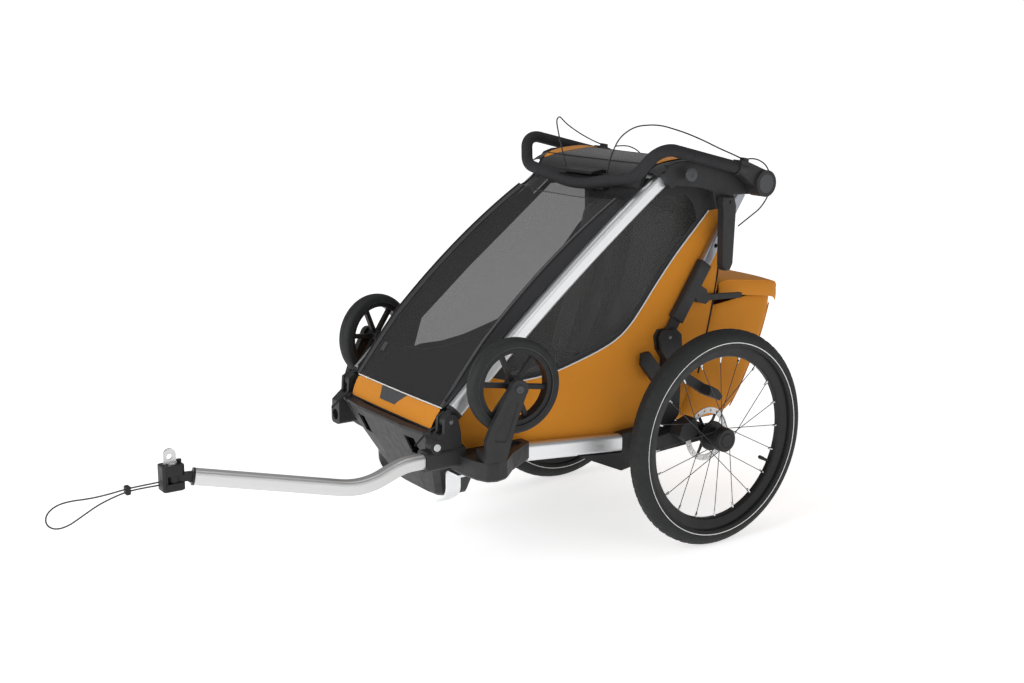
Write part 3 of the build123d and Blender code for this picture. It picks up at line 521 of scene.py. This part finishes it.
def make_wheel_details(label, sign):
    body = f"wheel_{label}"
    middle = WHEEL_SIDE * sign
    centre = p(0, middle, WHEEL_MM)
    out = (0, sign, 0)
    slots = []
    for k in range(18):
        turn = 2 * pi * k / 18
        slots.append(ring_points(2.6, 8, 55.5 * cos(turn), WHEEL_MM + 55.5 * sin(turn)))
    ring = ring_points(62.3, 72)
    bore = ring_points(48.7, 72)
    rotor_y = (WHEEL_SIDE - 36) * sign
    holes = [bore, *slots]
    # The rotor takes the darker aluminium copy: painted shade.
    side_plate(f"rotor_{label}", ring, SHADED_ALUMINIUM, body, rotor_y - 1.2, rotor_y + 1.2, holes, 0.0)
    nipple = [(-1, 0.1), (-1, 3), (3, 3), (5, 2.2), (12, 2), (12, 0.1)]
    for k in range(20):
        turn = 2 * pi * k / 20
        spot = p(186 * cos(turn), middle, WHEEL_MM + 186 * sin(turn))
        inward = Vector((-cos(turn), 0, -sin(turn)))
        lathe(f"nipple_{label}_{k}", nipple, spot, inward, STEEL, body, 10, closed=False)
    turn = radians(207)
    spot = p(188 * cos(turn), middle, WHEEL_MM + 188 * sin(turn))
    inward = Vector((-cos(turn), 0, -sin(turn)))
    valve = [(-1, 0.1), (-1, 6), (1, 6), (1, 3.6), (22, 3.6), (22, 4.4), (34, 4.4), (36, 3), (36, 0.1)]
    lathe(f"valve_{label}", valve, spot, inward, DARK, body, 16, closed=False)
    cap = [(19.5, 27.2), (29, 27.2), (31.5, 25), (31.5, 17), (30, 16.5), (19.5, 16.5)]
    lathe(f"hub_cap_{label}", cap, centre, out, DARK, body, 64)
    for name, flange, radius in (("inner", -17.5, 31.5), ("outer", 15, 25.5)):
        collar = [(flange - 3.2, radius), (flange - 2.6, radius + 0.9)]
        collar += [(flange + 2.6, radius + 0.9), (flange + 3.2, radius)]
        lathe(f"hub_flange_{label}_{name}", collar, centre, out, DARK, body, 64)


def make_caster_details(label, sign):
    low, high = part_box(f"caster_{label}_tyre")
    centre = (low + high) / 2
    toe = radians(10.6)
    axis = Vector((sin(toe), sign * cos(toe), 0))
    body = f"caster_wheel_{label}"
    profile = []
    for k in range(17):
        around = radians(-90 + 180 * k / 16)
        flat = 17.2 * sin(around)
        profile.append((flat, 86.5 + 12.6 * cos(around) ** 0.6))
    profile += [(17.2, 82), (-17.2, 82)]
    tyre = lathe(f"caster_tyre_{label}", profile, centre, axis, RUBBER, body, 96)
    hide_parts(f"caster_{label}_tyre")
    # Flat dark bands laid round the caster tyre: painted shade standing for its grooves, which are not cut
    # into the rubber.
    for groove in (-9, 0, 9):
        edge = 86.5 + 12.6 * cos(radians(90) * groove / 17.2) ** 0.6
        cut = [(groove - 1.4, edge + 0.15), (groove + 1.4, edge + 0.15), (groove, edge - 1)]
        lathe(f"caster_groove_shade_{label}_{groove + 20}", cut, centre, axis, DARK, body, 72)
    cap = [(15, 0.1), (17.5, 9), (18.5, 11), (17.5, 13.5), (14, 14.5)]
    lathe(f"caster_cap_{label}", cap, centre, -axis, CHARCOAL, body, 40, closed=False)
    fork = f"caster_fork_{label}"
    bolt = [(32.6, 0.1), (36, 0.1), (36, 3.4), (36.8, 4.2), (36.8, 6.6), (35.6, 8), (32.6, 8)]
    lathe(f"caster_bolt_{label}", bolt, centre, axis, GREY, fork, 40, closed=False)
    for edge in (-1, 1):
        rim_ring = [(15.6 * edge, 80.5), (16.6 * edge, 81), (16.6 * edge, 83), (15.6 * edge, 83.5)]
        lathe(f"caster_rim_ring_{label}_{edge + 2}", rim_ring, centre, axis, GREY, body, 96)


for label, sign in SIDES:
    make_tyre(label, sign)
    make_wheel_details(label, sign)
    make_caster_details(label, sign)


# ---------------------------------------------------------------- small fittings
def make_fittings():
    for label, sign in SIDES:
        boss = [(-1, 15.5), (2.6, 15.5), (4, 14), (4, 4.5), (2.8, 3.6), (2.8, 0.1)]
        pivot = p(64, 249 * sign, 842)
        lathe(f"arm_boss_{label}", boss, pivot, (0, sign, 0), GREY, "upper_frame", closed=False)
        tab = [(158, 448), (136, 450), (92, 400), (92, 380), (122, 376), (160, 422)]
        y_low, y_high = sorted((203 * sign, 213 * sign))
        side_plate(f"side_clip_{label}", tab, DARK, "chassis", y_low, y_high, rounding=0.002)
        stitches = [p(126 + 16 * k, 204.5 * sign, 414 + 18 * k) for k in (-1, 0, 1)]
        curve(f"side_clip_stitch_{label}", stitches, 0.6, GREY, "chassis")
    # A thin dark disc on the drawbar's side: painted shade standing for the inside of a hole.
    hole = [(0, 6), (0.6, 5.4), (0.6, 0.1)]
    lathe("drawbar_hole_shade", hole, p(1138, 113, 325), (0, 1, 0), DARK, "drawbar", 32, closed=False)


make_fittings()


# ---------------------------------------------------------------- cabin sides
COVER_HALF = 181.0
COVER_ROWS = 24
COVER_ARC = ((658, 393), (440, 612), (206, 783))
PILLAR_LINE = ((653, 404), (393, 631), (186, 782))
PIPING_EDGE = [
    (486, 424), (430, 424), (372, 432), (314, 447), (260, 462), (210, 481), (171, 510), (136, 551), (94, 603),
    (38, 665), (-19, 719), (-50, 750),
]


def along(share, points):
    """A point on the smooth line through three points, from the first (0) to the last (1)."""
    (x0, z0), (x1, z1), (x2, z2) = points
    a, b, c = (1 - share) * (1 - 2 * share), 4 * share * (1 - share), share * (2 * share - 1)
    return a * x0 + b * x1 + c * x2, a * z0 + b * z1 + c * z2


def shifted(points, dx, dz):
    return [(x + dx, z + dz) for x, z in points]


def make_pillar_liner(label, sign):
    """Black cloth between the pillar and the cabin, which hides the pillar from inside."""
    rows = []
    for k in range(21):
        x, z = along(k / 20, PILLAR_LINE)
        rows.append([p(x + 0.66 * out, 183.6 * sign, z + 0.75 * out) for out in (-32, -12, 6)])
    grid(f"pillar_liner_{label}", rows, BLACK_CLOTH, "upper_frame", thickness=0.0008)


def flatten(*soft):
    """Gives each piece of cloth a mesh of its own, not shared with any other object."""
    for obj in soft:
        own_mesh(obj)


def make_side(label, sign):
    y = (PANEL_Y - 1.2) * sign
    skirt = [(60, 262), (560, 262), (637, 281), (637, 322), (652, 342), (634, SILL), (-34, SILL), (40, 262)]
    above = [(612, 398), (560, 446), *PIPING_EDGE, (-84, 752), (-88, 700), (-86, 570)]
    cut = [*skirt[:6], *above, *skirt[6:]]
    lower = side_cloth(f"side_lower_{label}", skirt, ORANGE, "chassis", y, cut, 1.6, 30)
    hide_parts("lower_side_panels")
    band = [(-34, SILL), (634, SILL), *above]
    upper = side_cloth(f"side_upper_{label}", band, ORANGE, "chassis", y, cut, 1.6, 30)
    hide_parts("upper_side_panels")
    inner_y = y - 3.4 * sign
    side_cloth(f"side_lining_low_{label}", skirt, BLACK_CLOTH, "chassis", inner_y, thickness=0.0008)
    lining = side_cloth(f"side_lining_high_{label}", band, BLACK_CLOTH, "chassis", inner_y, thickness=0.0008)
    border_in = shifted(PIPING_EDGE, 3, 14)
    top = [(-50, 750), (-84, 752), (-72, 780), (-18, 848), (52, 842), (62, 812), (100, 806), (128, 797),
           (122, 789), (60, 790), (16, 788), (-4, 768), (-16, 733)]
    border = side_cloth(f"side_border_{label}", PIPING_EDGE + border_in[::-1], BLACK_CLOTH, "chassis",
                        y + 0.3 * sign, spacing=10)
    crown = side_cloth(f"side_crown_{label}", top, BLACK_CLOTH, "chassis", y + 0.2 * sign)
    upper_edge = [(122, 789), (240, 697), (358, 606), (488, 498), (508, 434), (489, 438), (486, 424),
                  (560, 446), (612, 398), (497, 503), (382, 602), (255, 704), (128, 799)]
    rail = side_cloth(f"side_rail_{label}", upper_edge, BLACK_CLOTH, "chassis", y + 0.2 * sign)
    pane = border_in[:-1] + [(-16, 733), (-4, 768), (16, 788), (60, 790), (122, 789), (240, 697), (358, 606),
                             (488, 498), (508, 434)]
    window = side_cloth(f"side_window_{label}", pane, WINDOW, "chassis", y - 0.4 * sign, thickness=0)
    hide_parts("side_windows")
    line = [p(x, y + 1.6 * sign, z) for x, z in PIPING_EDGE]
    piping = curve(f"side_piping_{label}", line, 1.5, PIPING, "chassis")
    stitch = [p(x, y + 1.0 * sign, z) for x, z in shifted(PIPING_EDGE, 1.5, 6)]
    seam = curve(f"side_stitch_{label}", stitch, 0.7, BINDING, "chassis")
    back_spots = [(-36, SILL), (-86, 570), (-90, 700), (-86, 752), (-74, 782)]
    back_line = [p(x, y + 0.6 * sign, z) for x, z in back_spots]
    back_edge = curve(f"side_back_binding_{label}", back_line, 2.4, BINDING, "chassis")
    flatten(upper, lining, border, crown, rail, window, piping, seam, back_edge)


for label, sign in SIDES:
    make_side(label, sign)
    make_pillar_liner(label, sign)


def make_rear_panel():
    profile = [(44, 270), (5, 322), (-32, SILL)]
    upper_profile = [(-32, SILL), (-62, 480), (-82, 570), (-86, 640), (-84, 700), (-68, 780), (-16, 844)]
    half = PANEL_Y - 3.5
    for name, outline in (("rear_low", profile), ("rear_high", upper_profile)):
        rows = []
        for x, z in outline:
            rows.append([p(x - 5 * (1 - (k / 6) ** 2), half * k / 6, z) for k in range(-6, 7)])
        cloth_piece = grid(name, rows, BLACK_CLOTH, "chassis", thickness=0.0016, subdivide=1)
        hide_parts("rear_panel")
        if name == "rear_high":
            flatten(cloth_piece)


make_rear_panel()


# ---------------------------------------------------------------- front cover
def cover_point(share, y, lift=0.0):
    """A point of the stretched cover: its edges ride up onto the pillars and its middle sags."""
    x, z = along(share, COVER_ARC)
    rise = 12 * min(1, 4 * share) * abs(y / COVER_HALF) ** 3 + lift
    return p(x + 0.64 * rise, y, z + 0.77 * rise)


def cover_band(y_low, y_high, count, lift):
    """Rows of points over the cover's whole length, between two places across it."""
    across = [y_low + (y_high - y_low) * j / count for j in range(count + 1)]
    return [[cover_point(k / COVER_ROWS, y, lift) for y in across] for k in range(COVER_ROWS + 1)]


def make_cover():
    mesh = grid("cover_mesh", cover_band(-COVER_HALF, COVER_HALF, 28, 0), NET, "front_cover")
    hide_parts("front_cover")
    for label, sign in SIDES:
        edge = sign * COVER_HALF
        rows = []
        for k in range(COVER_ROWS + 1):
            share = k / COVER_ROWS
            top = cover_point(share, edge)
            x, z = along(share, PILLAR_LINE)
            drop = p(x, sign * (COVER_HALF + 13), z)
            rows.append([top, top + Vector((0.0012, sign * 0.006, 0.0014)), top.lerp(drop, 0.6), drop])
        grid(f"cover_wall_{label}", rows, BLACK_CLOTH, "front_cover", thickness=0.0014, subdivide=1)
        inner = [cover_point(k / COVER_ROWS, edge - 13 * sign, 0.7) for k in range(COVER_ROWS + 1)]
        curve(f"cover_seam_{label}", inner, 0.9, BINDING, "front_cover")
        strip = cover_band(edge - 12 * sign, edge, 3, 0.5)
        grid(f"cover_border_{label}", strip, BLACK_CLOTH, "front_cover", thickness=0.001)
        outer = [cover_point(k / COVER_ROWS, edge + 3 * sign, 1) for k in range(COVER_ROWS + 1)]
        curve(f"cover_edge_{label}", outer, 2.2, BINDING, "front_cover")
    rows = []
    for k in range(7):
        share = k / 6
        width = 168.5 + 6.5 * share
        puff = 2.4 * 4 * share * (1 - share)
        middle = p(680 - 22 * share + 0.85 * puff, 0, 348 + 41 * share + 0.5 * puff)
        bow = [Vector((0.002 * cos(pi * j / 20), width * j / 10000, 0)) for j in range(-10, 11)]
        rows.append([middle + step for step in bow])
    grid("cover_hem", rows, ORANGE, "front_cover", thickness=0.0022, subdivide=1)
    for name, x, z, width, look in (("low", 680, 347, 169, BINDING), ("high", 657.5, 390.5, 175, PIPING)):
        line = [p(x + 2 * cos(pi * j / 20), width * j / 10, z) for j in range(-10, 11)]
        curve(f"hem_{name}_edge", line, 1.5, look, "front_cover")
    make_hem_patch()
    pulls = {
        "left": [(680, 166, 349), (690, 165, 340), (702, 163, 327), (713, 160, 316)],
        "right": [(682, -166, 352), (702, -158, 354), (722, -153, 342), (741, -150, 330)],
        "right_short": [(706, -156, 351), (700, -153, 338), (692, -151, 325), (684, -150, 313)],
    }
    for label, line in pulls.items():
        route = [p(*spot) for spot in line]
        pull = curve(f"pull_cord_{label}", route, 1.9, BINDING, "front_cover", keep_curve=True)
    tag_spots = ((0.105, -136), (0.105, -152), (0.14, -152), (0.14, -140))
    tag = [cover_point(share, y, 1.0) for share, y in tag_spots]
    add("cover_tag", tag, [(0, 1, 2, 3)], GREY, "front_cover", thickness=0.001)
    for label, sign in SIDES:
        spots = ((668, 170, 352), (682, 172, 350), (690, 172, 342), (684, 171, 336))
        loop = [p(x, y * sign, z) for x, y, z in spots]
        strap(f"pull_tab_{label}", loop, (0, 1, 0), 9, WEBBING, "front_cover", thickness=0.002)


def make_hem_patch():
    """A plain dark patch with cut lower corners on the hem."""
    corners = [(-64, 0.99), (45, 0.99), (15, 0.37), (-48, 0.37)]
    verts = []
    for lift, inset in ((0.4, 1.0), (2.6, 0.95)):
        for y, share in corners:
            puff = 2.4 * 4 * share * (1 - share)
            x = 680 - 22 * share + 0.85 * (puff + lift) + 2
            middle = 0.68 + (share - 0.68) * inset
            verts.append(p(x, -13 + (y + 13) * inset, 348 + 41 * middle + 0.5 * (puff + lift)))
    faces = [(3, 2, 1, 0), (4, 5, 6, 7)] + [(k, (k + 1) % 4, 4 + (k + 1) % 4, 4 + k) for k in range(4)]
    add("hem_patch", verts, faces, GREY, "front_cover", smooth=False, rounding=0.0008)


make_cover()


# ---------------------------------------------------------------- roof
def canopy_point(x, y, z):
    """A canopy point: the front face stands forward at its sides and falls back in the middle."""
    side = abs(y / 195) ** 2
    front = max(0, min(1, (x - 60) / 60))
    return p(x + 14 * side * front, y, z - 3 * (1 - side))


def make_canopy():
    half = 194
    profile = [(204, 783), (186, 789), (166, 798), (150, 811), (138, 832), (128, 848), (112, 860), (96, 866)]
    profile += [(60, 871), (20, 873.5), (-16, 868), (-22, 857)]
    rows = []
    for x, z in profile:
        inset = 12 * max(0, min(1, (x - 150) / 54))
        rows.append([canopy_point(x, (half - inset) * k / 14, z) for k in range(-14, 15)])
    lip = grid("canopy_lip", rows[:4], NET, "upper_frame")
    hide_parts("roof_canopy")
    roof = grid("canopy_cloth", rows[3:], BLACK_CLOTH, "upper_frame", thickness=0.0024, subdivide=1)
    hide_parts("roof_canopy")
    for name, x, z in (("front", 150, 811.5), ("brow", 112, 861), ("rear", -18, 868)):
        line = [canopy_point(x, half * k / 10, z + 1) for k in range(-10, 11)]
        curve(f"canopy_{name}_seam", line, 1.3, BINDING, "upper_frame")
    for label, sign in SIDES:
        rows = []
        spans = ((124, 851.5, 184, 193), (112, 860.5, 172, 196), (96, 866.8, 158, 199), (60, 871.6, 150, 203))
        for x, z, start, end in (*spans, (20, 874.2, 160, 203), (-20, 868.5, 178, 200)):
            rows.append([canopy_point(x, sign * (start + (end - start) * k / 6), z + 1.2) for k in range(7)])
        grid(f"canopy_corner_{label}", rows, ORANGE, "upper_frame", thickness=0.002, subdivide=1)
        rows = []
        for x, z in profile[5:]:
            row = []
            for share in (0, 0.25, 0.5, 0.75, 1):
                row.append(canopy_point(x, sign * (half + 38 * share), z - 2 - 9 * share ** 2))
            rows.append(row)
        grid(f"canopy_wing_{label}", rows, BLACK_CLOTH, "upper_frame", thickness=0.002, subdivide=1)
        edge = [canopy_point(x, sign * (half + 1), z) for x, z in profile]
        curve(f"canopy_edge_{label}", edge, 2.4, BINDING, "upper_frame")


make_canopy()


# ---------------------------------------------------------------- seat
def inflate(obj, cap):
    """Swells a closed pad with cloth pressure, moves no point further than cap, and keeps the result."""
    remesh = obj.modifiers.new("remesh", "REMESH")
    remesh.mode = "VOXEL"
    remesh.voxel_size = PAD_VOXEL
    apply_modifiers(obj)
    start = [v.co.copy() for v in obj.data.vertices]
    sim = obj.modifiers.new("cloth", "CLOTH")
    sim.settings.use_pressure = True
    sim.settings.uniform_pressure_force = PAD_PRESSURE
    sim.settings.effector_weights.gravity = 0
    sim.point_cache.frame_end = PAD_FRAMES
    for number in range(1, PAD_FRAMES + 1):
        bpy.context.scene.frame_set(number)
    apply_modifiers(obj)
    bpy.context.scene.frame_set(1)
    for vert, before in zip(obj.data.vertices, start):
        move = vert.co - before
        if move.length > cap:
            vert.co = before + move * (cap / move.length)


def pad(name, outline, half, look, body, node, channels, crown=6.0):
    """A stuffed pad: a crowned side-view outline drawn in towards its sides, with sewn channels."""
    count = 18
    rows = []
    centre_x = sum(x for x, _ in outline) / len(outline)
    centre_z = sum(z for _, z in outline) / len(outline)
    for k in range(-count, count + 1):
        share = k / count
        pull = 1 - 0.10 * abs(share) ** 4
        drawn = [(centre_x + (x - centre_x) * pull, centre_z + (z - centre_z) * pull) for x, z in outline]
        rows.append([p(x, half * share, z) for x, z in drawn])
    size = len(outline)
    verts = [point for row in rows for point in row]
    faces = [(r * size + c, r * size + (c + 1) % size, (r + 1) * size + (c + 1) % size, (r + 1) * size + c)
             for r in range(len(rows) - 1) for c in range(size)]
    faces += [tuple(range(size - 1, -1, -1)), tuple(range((len(rows) - 1) * size, len(rows) * size))]
    obj = add(name, verts, faces, look, body)
    inflate(obj, crown / 1000)
    for vert in obj.data.vertices:
        across = abs(vert.co.y * 1000)
        for place, depth, width in channels:
            inward = p(centre_x, vert.co.y * 1000, centre_z) - vert.co
            vert.co += inward * depth * exp(-((across - place) / width) ** 2)
    soften = obj.modifiers.new("soften", "SUBSURF")
    soften.levels = soften.render_levels = 1
    apply_modifiers(obj)
    obj.data.materials.clear()
    obj.data.materials.append(look)
    obj.data.shade_smooth()
    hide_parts(node)
    return obj


def make_seat():
    base = [(134, 268), (260, 266), (384, 268), (396, 302), (394, 346),
            (380, 359), (300, 352), (176, 355), (158, 345), (134, 300)]
    base_channels = [(60, 0.05, 5), (120, 0.05, 5)]
    pad("seat_pad", base, 152, PAD_CLOTH, "chassis", "seat_cushion", base_channels)
    rest = [(122, 384), (146, 374), (154, 384), (124, 476), (94, 562), (48, 742),
            (34, 758), (14, 760), (2, 738), (30, 648), (60, 556)]
    rest_channels = [(54, 0.06, 5), (112, 0.06, 5)]
    back = pad("back_pad", rest, 150, PAD_CLOTH, "seat_back", "seat_back", rest_channels, 4.0)
    flatten(back)
    body = "seat_back"
    straps = []
    spots = ((58, 44, 716), (76, 42, 690), (102, 40, 610), (130, 38, 520), (166, 30, 440), (190, 20, 410))
    for label, sign in SIDES:
        line = [p(x, y * sign, z) for x, y, z in spots]
        straps.append(strap(f"harness_{label}", line, (0, 1, 0), 26, WEBBING, body, thickness=0.002))
        pad_line = [q + Vector((0.004, 0, 0.002)) for q in line[1:4]]
        sleeve = strap(f"harness_pad_{label}", pad_line, (0, 1, 0), 44, BLACK_CLOTH, body, thickness=0.009)
        straps.append(sleeve)
    flatten(*straps)
    low = [p(196, 0, 402), p(230, 0, 386), p(262, 0, 368)]
    strap("crotch_strap", low, (0, 1, 0), 26, WEBBING, "chassis", thickness=0.002)
    buckle = [(182, 392), (206, 392), (212, 404), (206, 418), (182, 418), (178, 404)]
    side_plate("buckle", buckle, DARK, "chassis", -22, 22, rounding=0.003)


make_seat()


# ---------------------------------------------------------------- cargo bag
def bag_front(z):
    return -24 - 78 * (z - 305) / 249 if z > 305 else -18


def bag_back(z):
    line = [(252, -180), (286, -210), (400, -270), (480, -304), (526, -308)]
    for (z0, x0), (z1, x1) in zip(line, line[1:]):
        if z <= z1:
            return x0 + (x1 - x0) * max(0, z - z0) / (z1 - z0)
    return -300


def make_bag():
    levels = [246, 254, 270, 300, 340, 380, 420, 460, 500, 518]
    corner = 16
    rows = []
    for z in levels:
        front = bag_front(z)
        back = bag_back(z)
        tuck = 14 if z < 250 else 5 if z < 262 else 0
        half = 150 - tuck
        front -= tuck
        back += tuck
        sag = 3 * sin(pi * (z - 246) / 272)
        ring = []
        corners = [(front, -half), (front, half), (back, half), (back, -half)]
        for (ax, ay), (bx, by) in zip(corners, corners[1:] + corners[:1]):
            length = hypot(bx - ax, by - ay)
            for k in range(9):
                share = corner / length + (1 - 2 * corner / length) * k / 8
                x, y = ax + (bx - ax) * share, ay + (by - ay) * share
                puff = sag * sin(pi * share)
                nx, ny = (by - ay) / length, -(bx - ax) / length
                ring.append(p(x + nx * puff, y + ny * puff, z + 0.12 * (front - x) * (z > 500)))
        rows.append(ring)
    shell = grid("bag_shell", rows, ORANGE, "cargo_bag", closed=True, thickness=0.003, subdivide=1)
    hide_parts("cargo_bag")
    base = rows[0]
    centre = sum(base, Vector()) / len(base)
    faces = [(k, (k + 1) % len(base), len(base)) for k in range(len(base))]
    add("bag_base", [*base, centre - Vector((0, 0, 0.002))], faces, BLACK_CLOTH, "cargo_bag", thickness=0.003)
    for label, sign in SIDES:
        for name, edge in (("front", bag_front), ("back", bag_back)):
            tuck = 6.5 if name == "front" else -6.5
            line = [p(edge(z) - tuck, 143.5 * sign, z) for z in (262, 300, 350, 400, 450, 505)]
            curve(f"bag_seam_{name}_{label}", line, 1.6, ORANGE, "cargo_bag")
    bottom = [point + Vector((0, 0, 0.004)) for point in rows[1][::4]]
    curve("bag_bottom_seam", bottom, 1.6, BINDING, "cargo_bag", closed=True)


def lid_half(x):
    """Half of the lid's width, which rounds in at its back corners."""
    return 162.5 - 15 * max(0, (-x - 282) / 35) ** 2


def make_lid():
    rows = []
    profile = [(-112, 574), (-124, 582.5), (-160, 580), (-200, 576), (-240, 571.5),
               (-290, 565.5), (-308, 560), (-317, 548), (-314, 522)]
    for k in range(-14, 15):
        share = k / 14
        droop = 5 * abs(share) ** 5
        rows.append([p(x, lid_half(x) * share, z - droop + 1.5 * (1 - share ** 2)) for x, z in profile])
    top = grid("lid_top", rows, ORANGE, "cargo_lid", thickness=0.0036, subdivide=1)
    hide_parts("cargo_lid")
    for label, sign in SIDES:
        rows = []
        for k in range(6):
            share = k / 5
            out = 2 - 3 * sin(pi * share)
            drops = [(x, z - 4 - share * (34 - 0.02 * (x + 112))) for x, z in profile[:8]]
            rows.append([p(x, (lid_half(x) - out) * sign, z) for x, z in drops])
        grid(f"lid_side_{label}", rows, ORANGE, "cargo_lid", thickness=0.003, subdivide=1)
        line = [p(x, lid_half(x) * sign, z - 4) for x, z in profile[:8]]
        curve(f"lid_seam_{label}", line, 1.7, ORANGE, "cargo_lid")
        low = [p(x, (lid_half(x) - 2) * sign, z - 38) for x, z in profile[:7]]
        curve(f"lid_hem_{label}", low, 1.4, ORANGE, "cargo_lid")
    for name, x, z in (("front", -112, 575), ("back", -310, 559)):
        line = []
        for k in range(-6, 7):
            crown = 1.5 * (1 - (k / 6) ** 2) - 3 * abs(k / 6) ** 5
            line.append(p(x, (lid_half(x) - 3) * k / 6, z + crown))
        curve(f"lid_seam_{name}", line, 1.7, ORANGE, "cargo_lid")


make_bag()
make_lid()


# ---------------------------------------------------------------- cords
TETHER = [
    (1230, 100, 318), (1257, 94.5, 315.5), (1285, 88, 312.5), (1318, 80, 305.5), (1352, 75, 302),
    (1384, 74, 304), (1412, 74.5, 301), (1431, 75, 287), (1432, 75.5, 268), (1417, 76, 256),
    (1394, 76.5, 258), (1368, 78, 272), (1338, 80.5, 289), (1311, 84.5, 299.5), (1286, 88.5, 307),
    (1258, 94.5, 310.5), (1230, 100, 312),
]
route = [p(*spot) for spot in TETHER]
tether = curve("tether", route, 1.5, CORD, "hitch_head", resolution=16, keep_curve=True)
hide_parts("tether_cord")


# ---------------------------------------------------------------- stage, light and camera
def make_world():
    """White at the horizon, dimmer overhead, so that shiny parts keep their contrast."""
    world = bpy.data.worlds.new("studio")
    world.use_nodes = True
    tree_nodes, links = world.node_tree.nodes, world.node_tree.links
    place = tree_nodes.new("ShaderNodeTexCoord")
    split = tree_nodes.new("ShaderNodeSeparateXYZ")
    fade = tree_nodes.new("ShaderNodeMapRange")
    fade.inputs["From Min"].default_value = 0.05
    fade.inputs["From Max"].default_value = 0.2
    fade.inputs["To Min"].default_value = 1.05
    fade.inputs["To Max"].default_value = SKY
    sky = tree_nodes["Background"]
    sky.inputs["Color"].default_value = (1, 1, 1, 1)
    links.new(place.outputs["Generated"], split.inputs["Vector"])
    links.new(split.outputs["Z"], fade.inputs["Value"])
    links.new(fade.outputs["Result"], sky.inputs["Strength"])
    bpy.context.scene.world = world


def make_floor():
    bpy.ops.mesh.primitive_plane_add(size=400, location=(0, 0, 0))
    floor = bpy.context.object
    floor.name = "floor"
    made, tree_nodes, links, shader = material("pale floor", "floor", (0.9, 0.9, 0.9), 0.8)
    shader.inputs["Specular IOR Level"].default_value = 0.1
    shader.inputs["Emission Color"].default_value = (1, 1, 1, 1)
    place = tree_nodes.new("ShaderNodeTexCoord")
    reach = tree_nodes.new("ShaderNodeVectorMath")
    reach.operation = "LENGTH"
    glow = tree_nodes.new("ShaderNodeMapRange")
    glow.inputs["From Min"].default_value = 0.9
    glow.inputs["From Max"].default_value = 3.2
    glow.inputs["To Min"].default_value = 0.64
    glow.inputs["To Max"].default_value = 0.8
    links.new(place.outputs["Object"], reach.inputs[0])
    links.new(reach.outputs["Value"], glow.inputs["Value"])
    links.new(glow.outputs["Result"], shader.inputs["Emission Strength"])
    vary_colour(tree_nodes, links, shader, noise(tree_nodes, links, 0.5), (0.9, 0.9, 0.9), 0.01)
    floor.data.materials.append(made)


def make_lights():
    aim = p(350, 0, 450)
    for name, place, size, power in LIGHTS:
        light = bpy.data.lights.new(name, "AREA")
        light.energy = power
        light.size = size
        lamp = bpy.data.objects.new(name, light)
        bpy.context.scene.collection.objects.link(lamp)
        lamp.location = place
        lamp.rotation_euler = (aim - Vector(place)).to_track_quat("-Z", "Y").to_euler()


def make_camera():
    camera = bpy.data.cameras.new("camera")
    camera.lens = 47.24
    camera.sensor_width = 36
    eye = bpy.data.objects.new("camera", camera)
    bpy.context.scene.collection.objects.link(eye)
    right = Vector((-0.82100, 0.57090, 0.00587))
    up = Vector((-0.11911, -0.18132, 0.97618))
    back = Vector((0.55836, 0.80075, 0.21686))
    spot = p(2052.51, 2424.81, 1117.97)
    eye.matrix_world = Matrix((
        (right.x, up.x, back.x, spot.x),
        (right.y, up.y, back.y, spot.y),
        (right.z, up.z, back.z, spot.z),
        (0, 0, 0, 1),
    ))
    bpy.context.scene.camera = eye


make_world()
make_floor()
make_lights()
make_camera()
bpy.context.scene.view_settings.view_transform = "Standard"
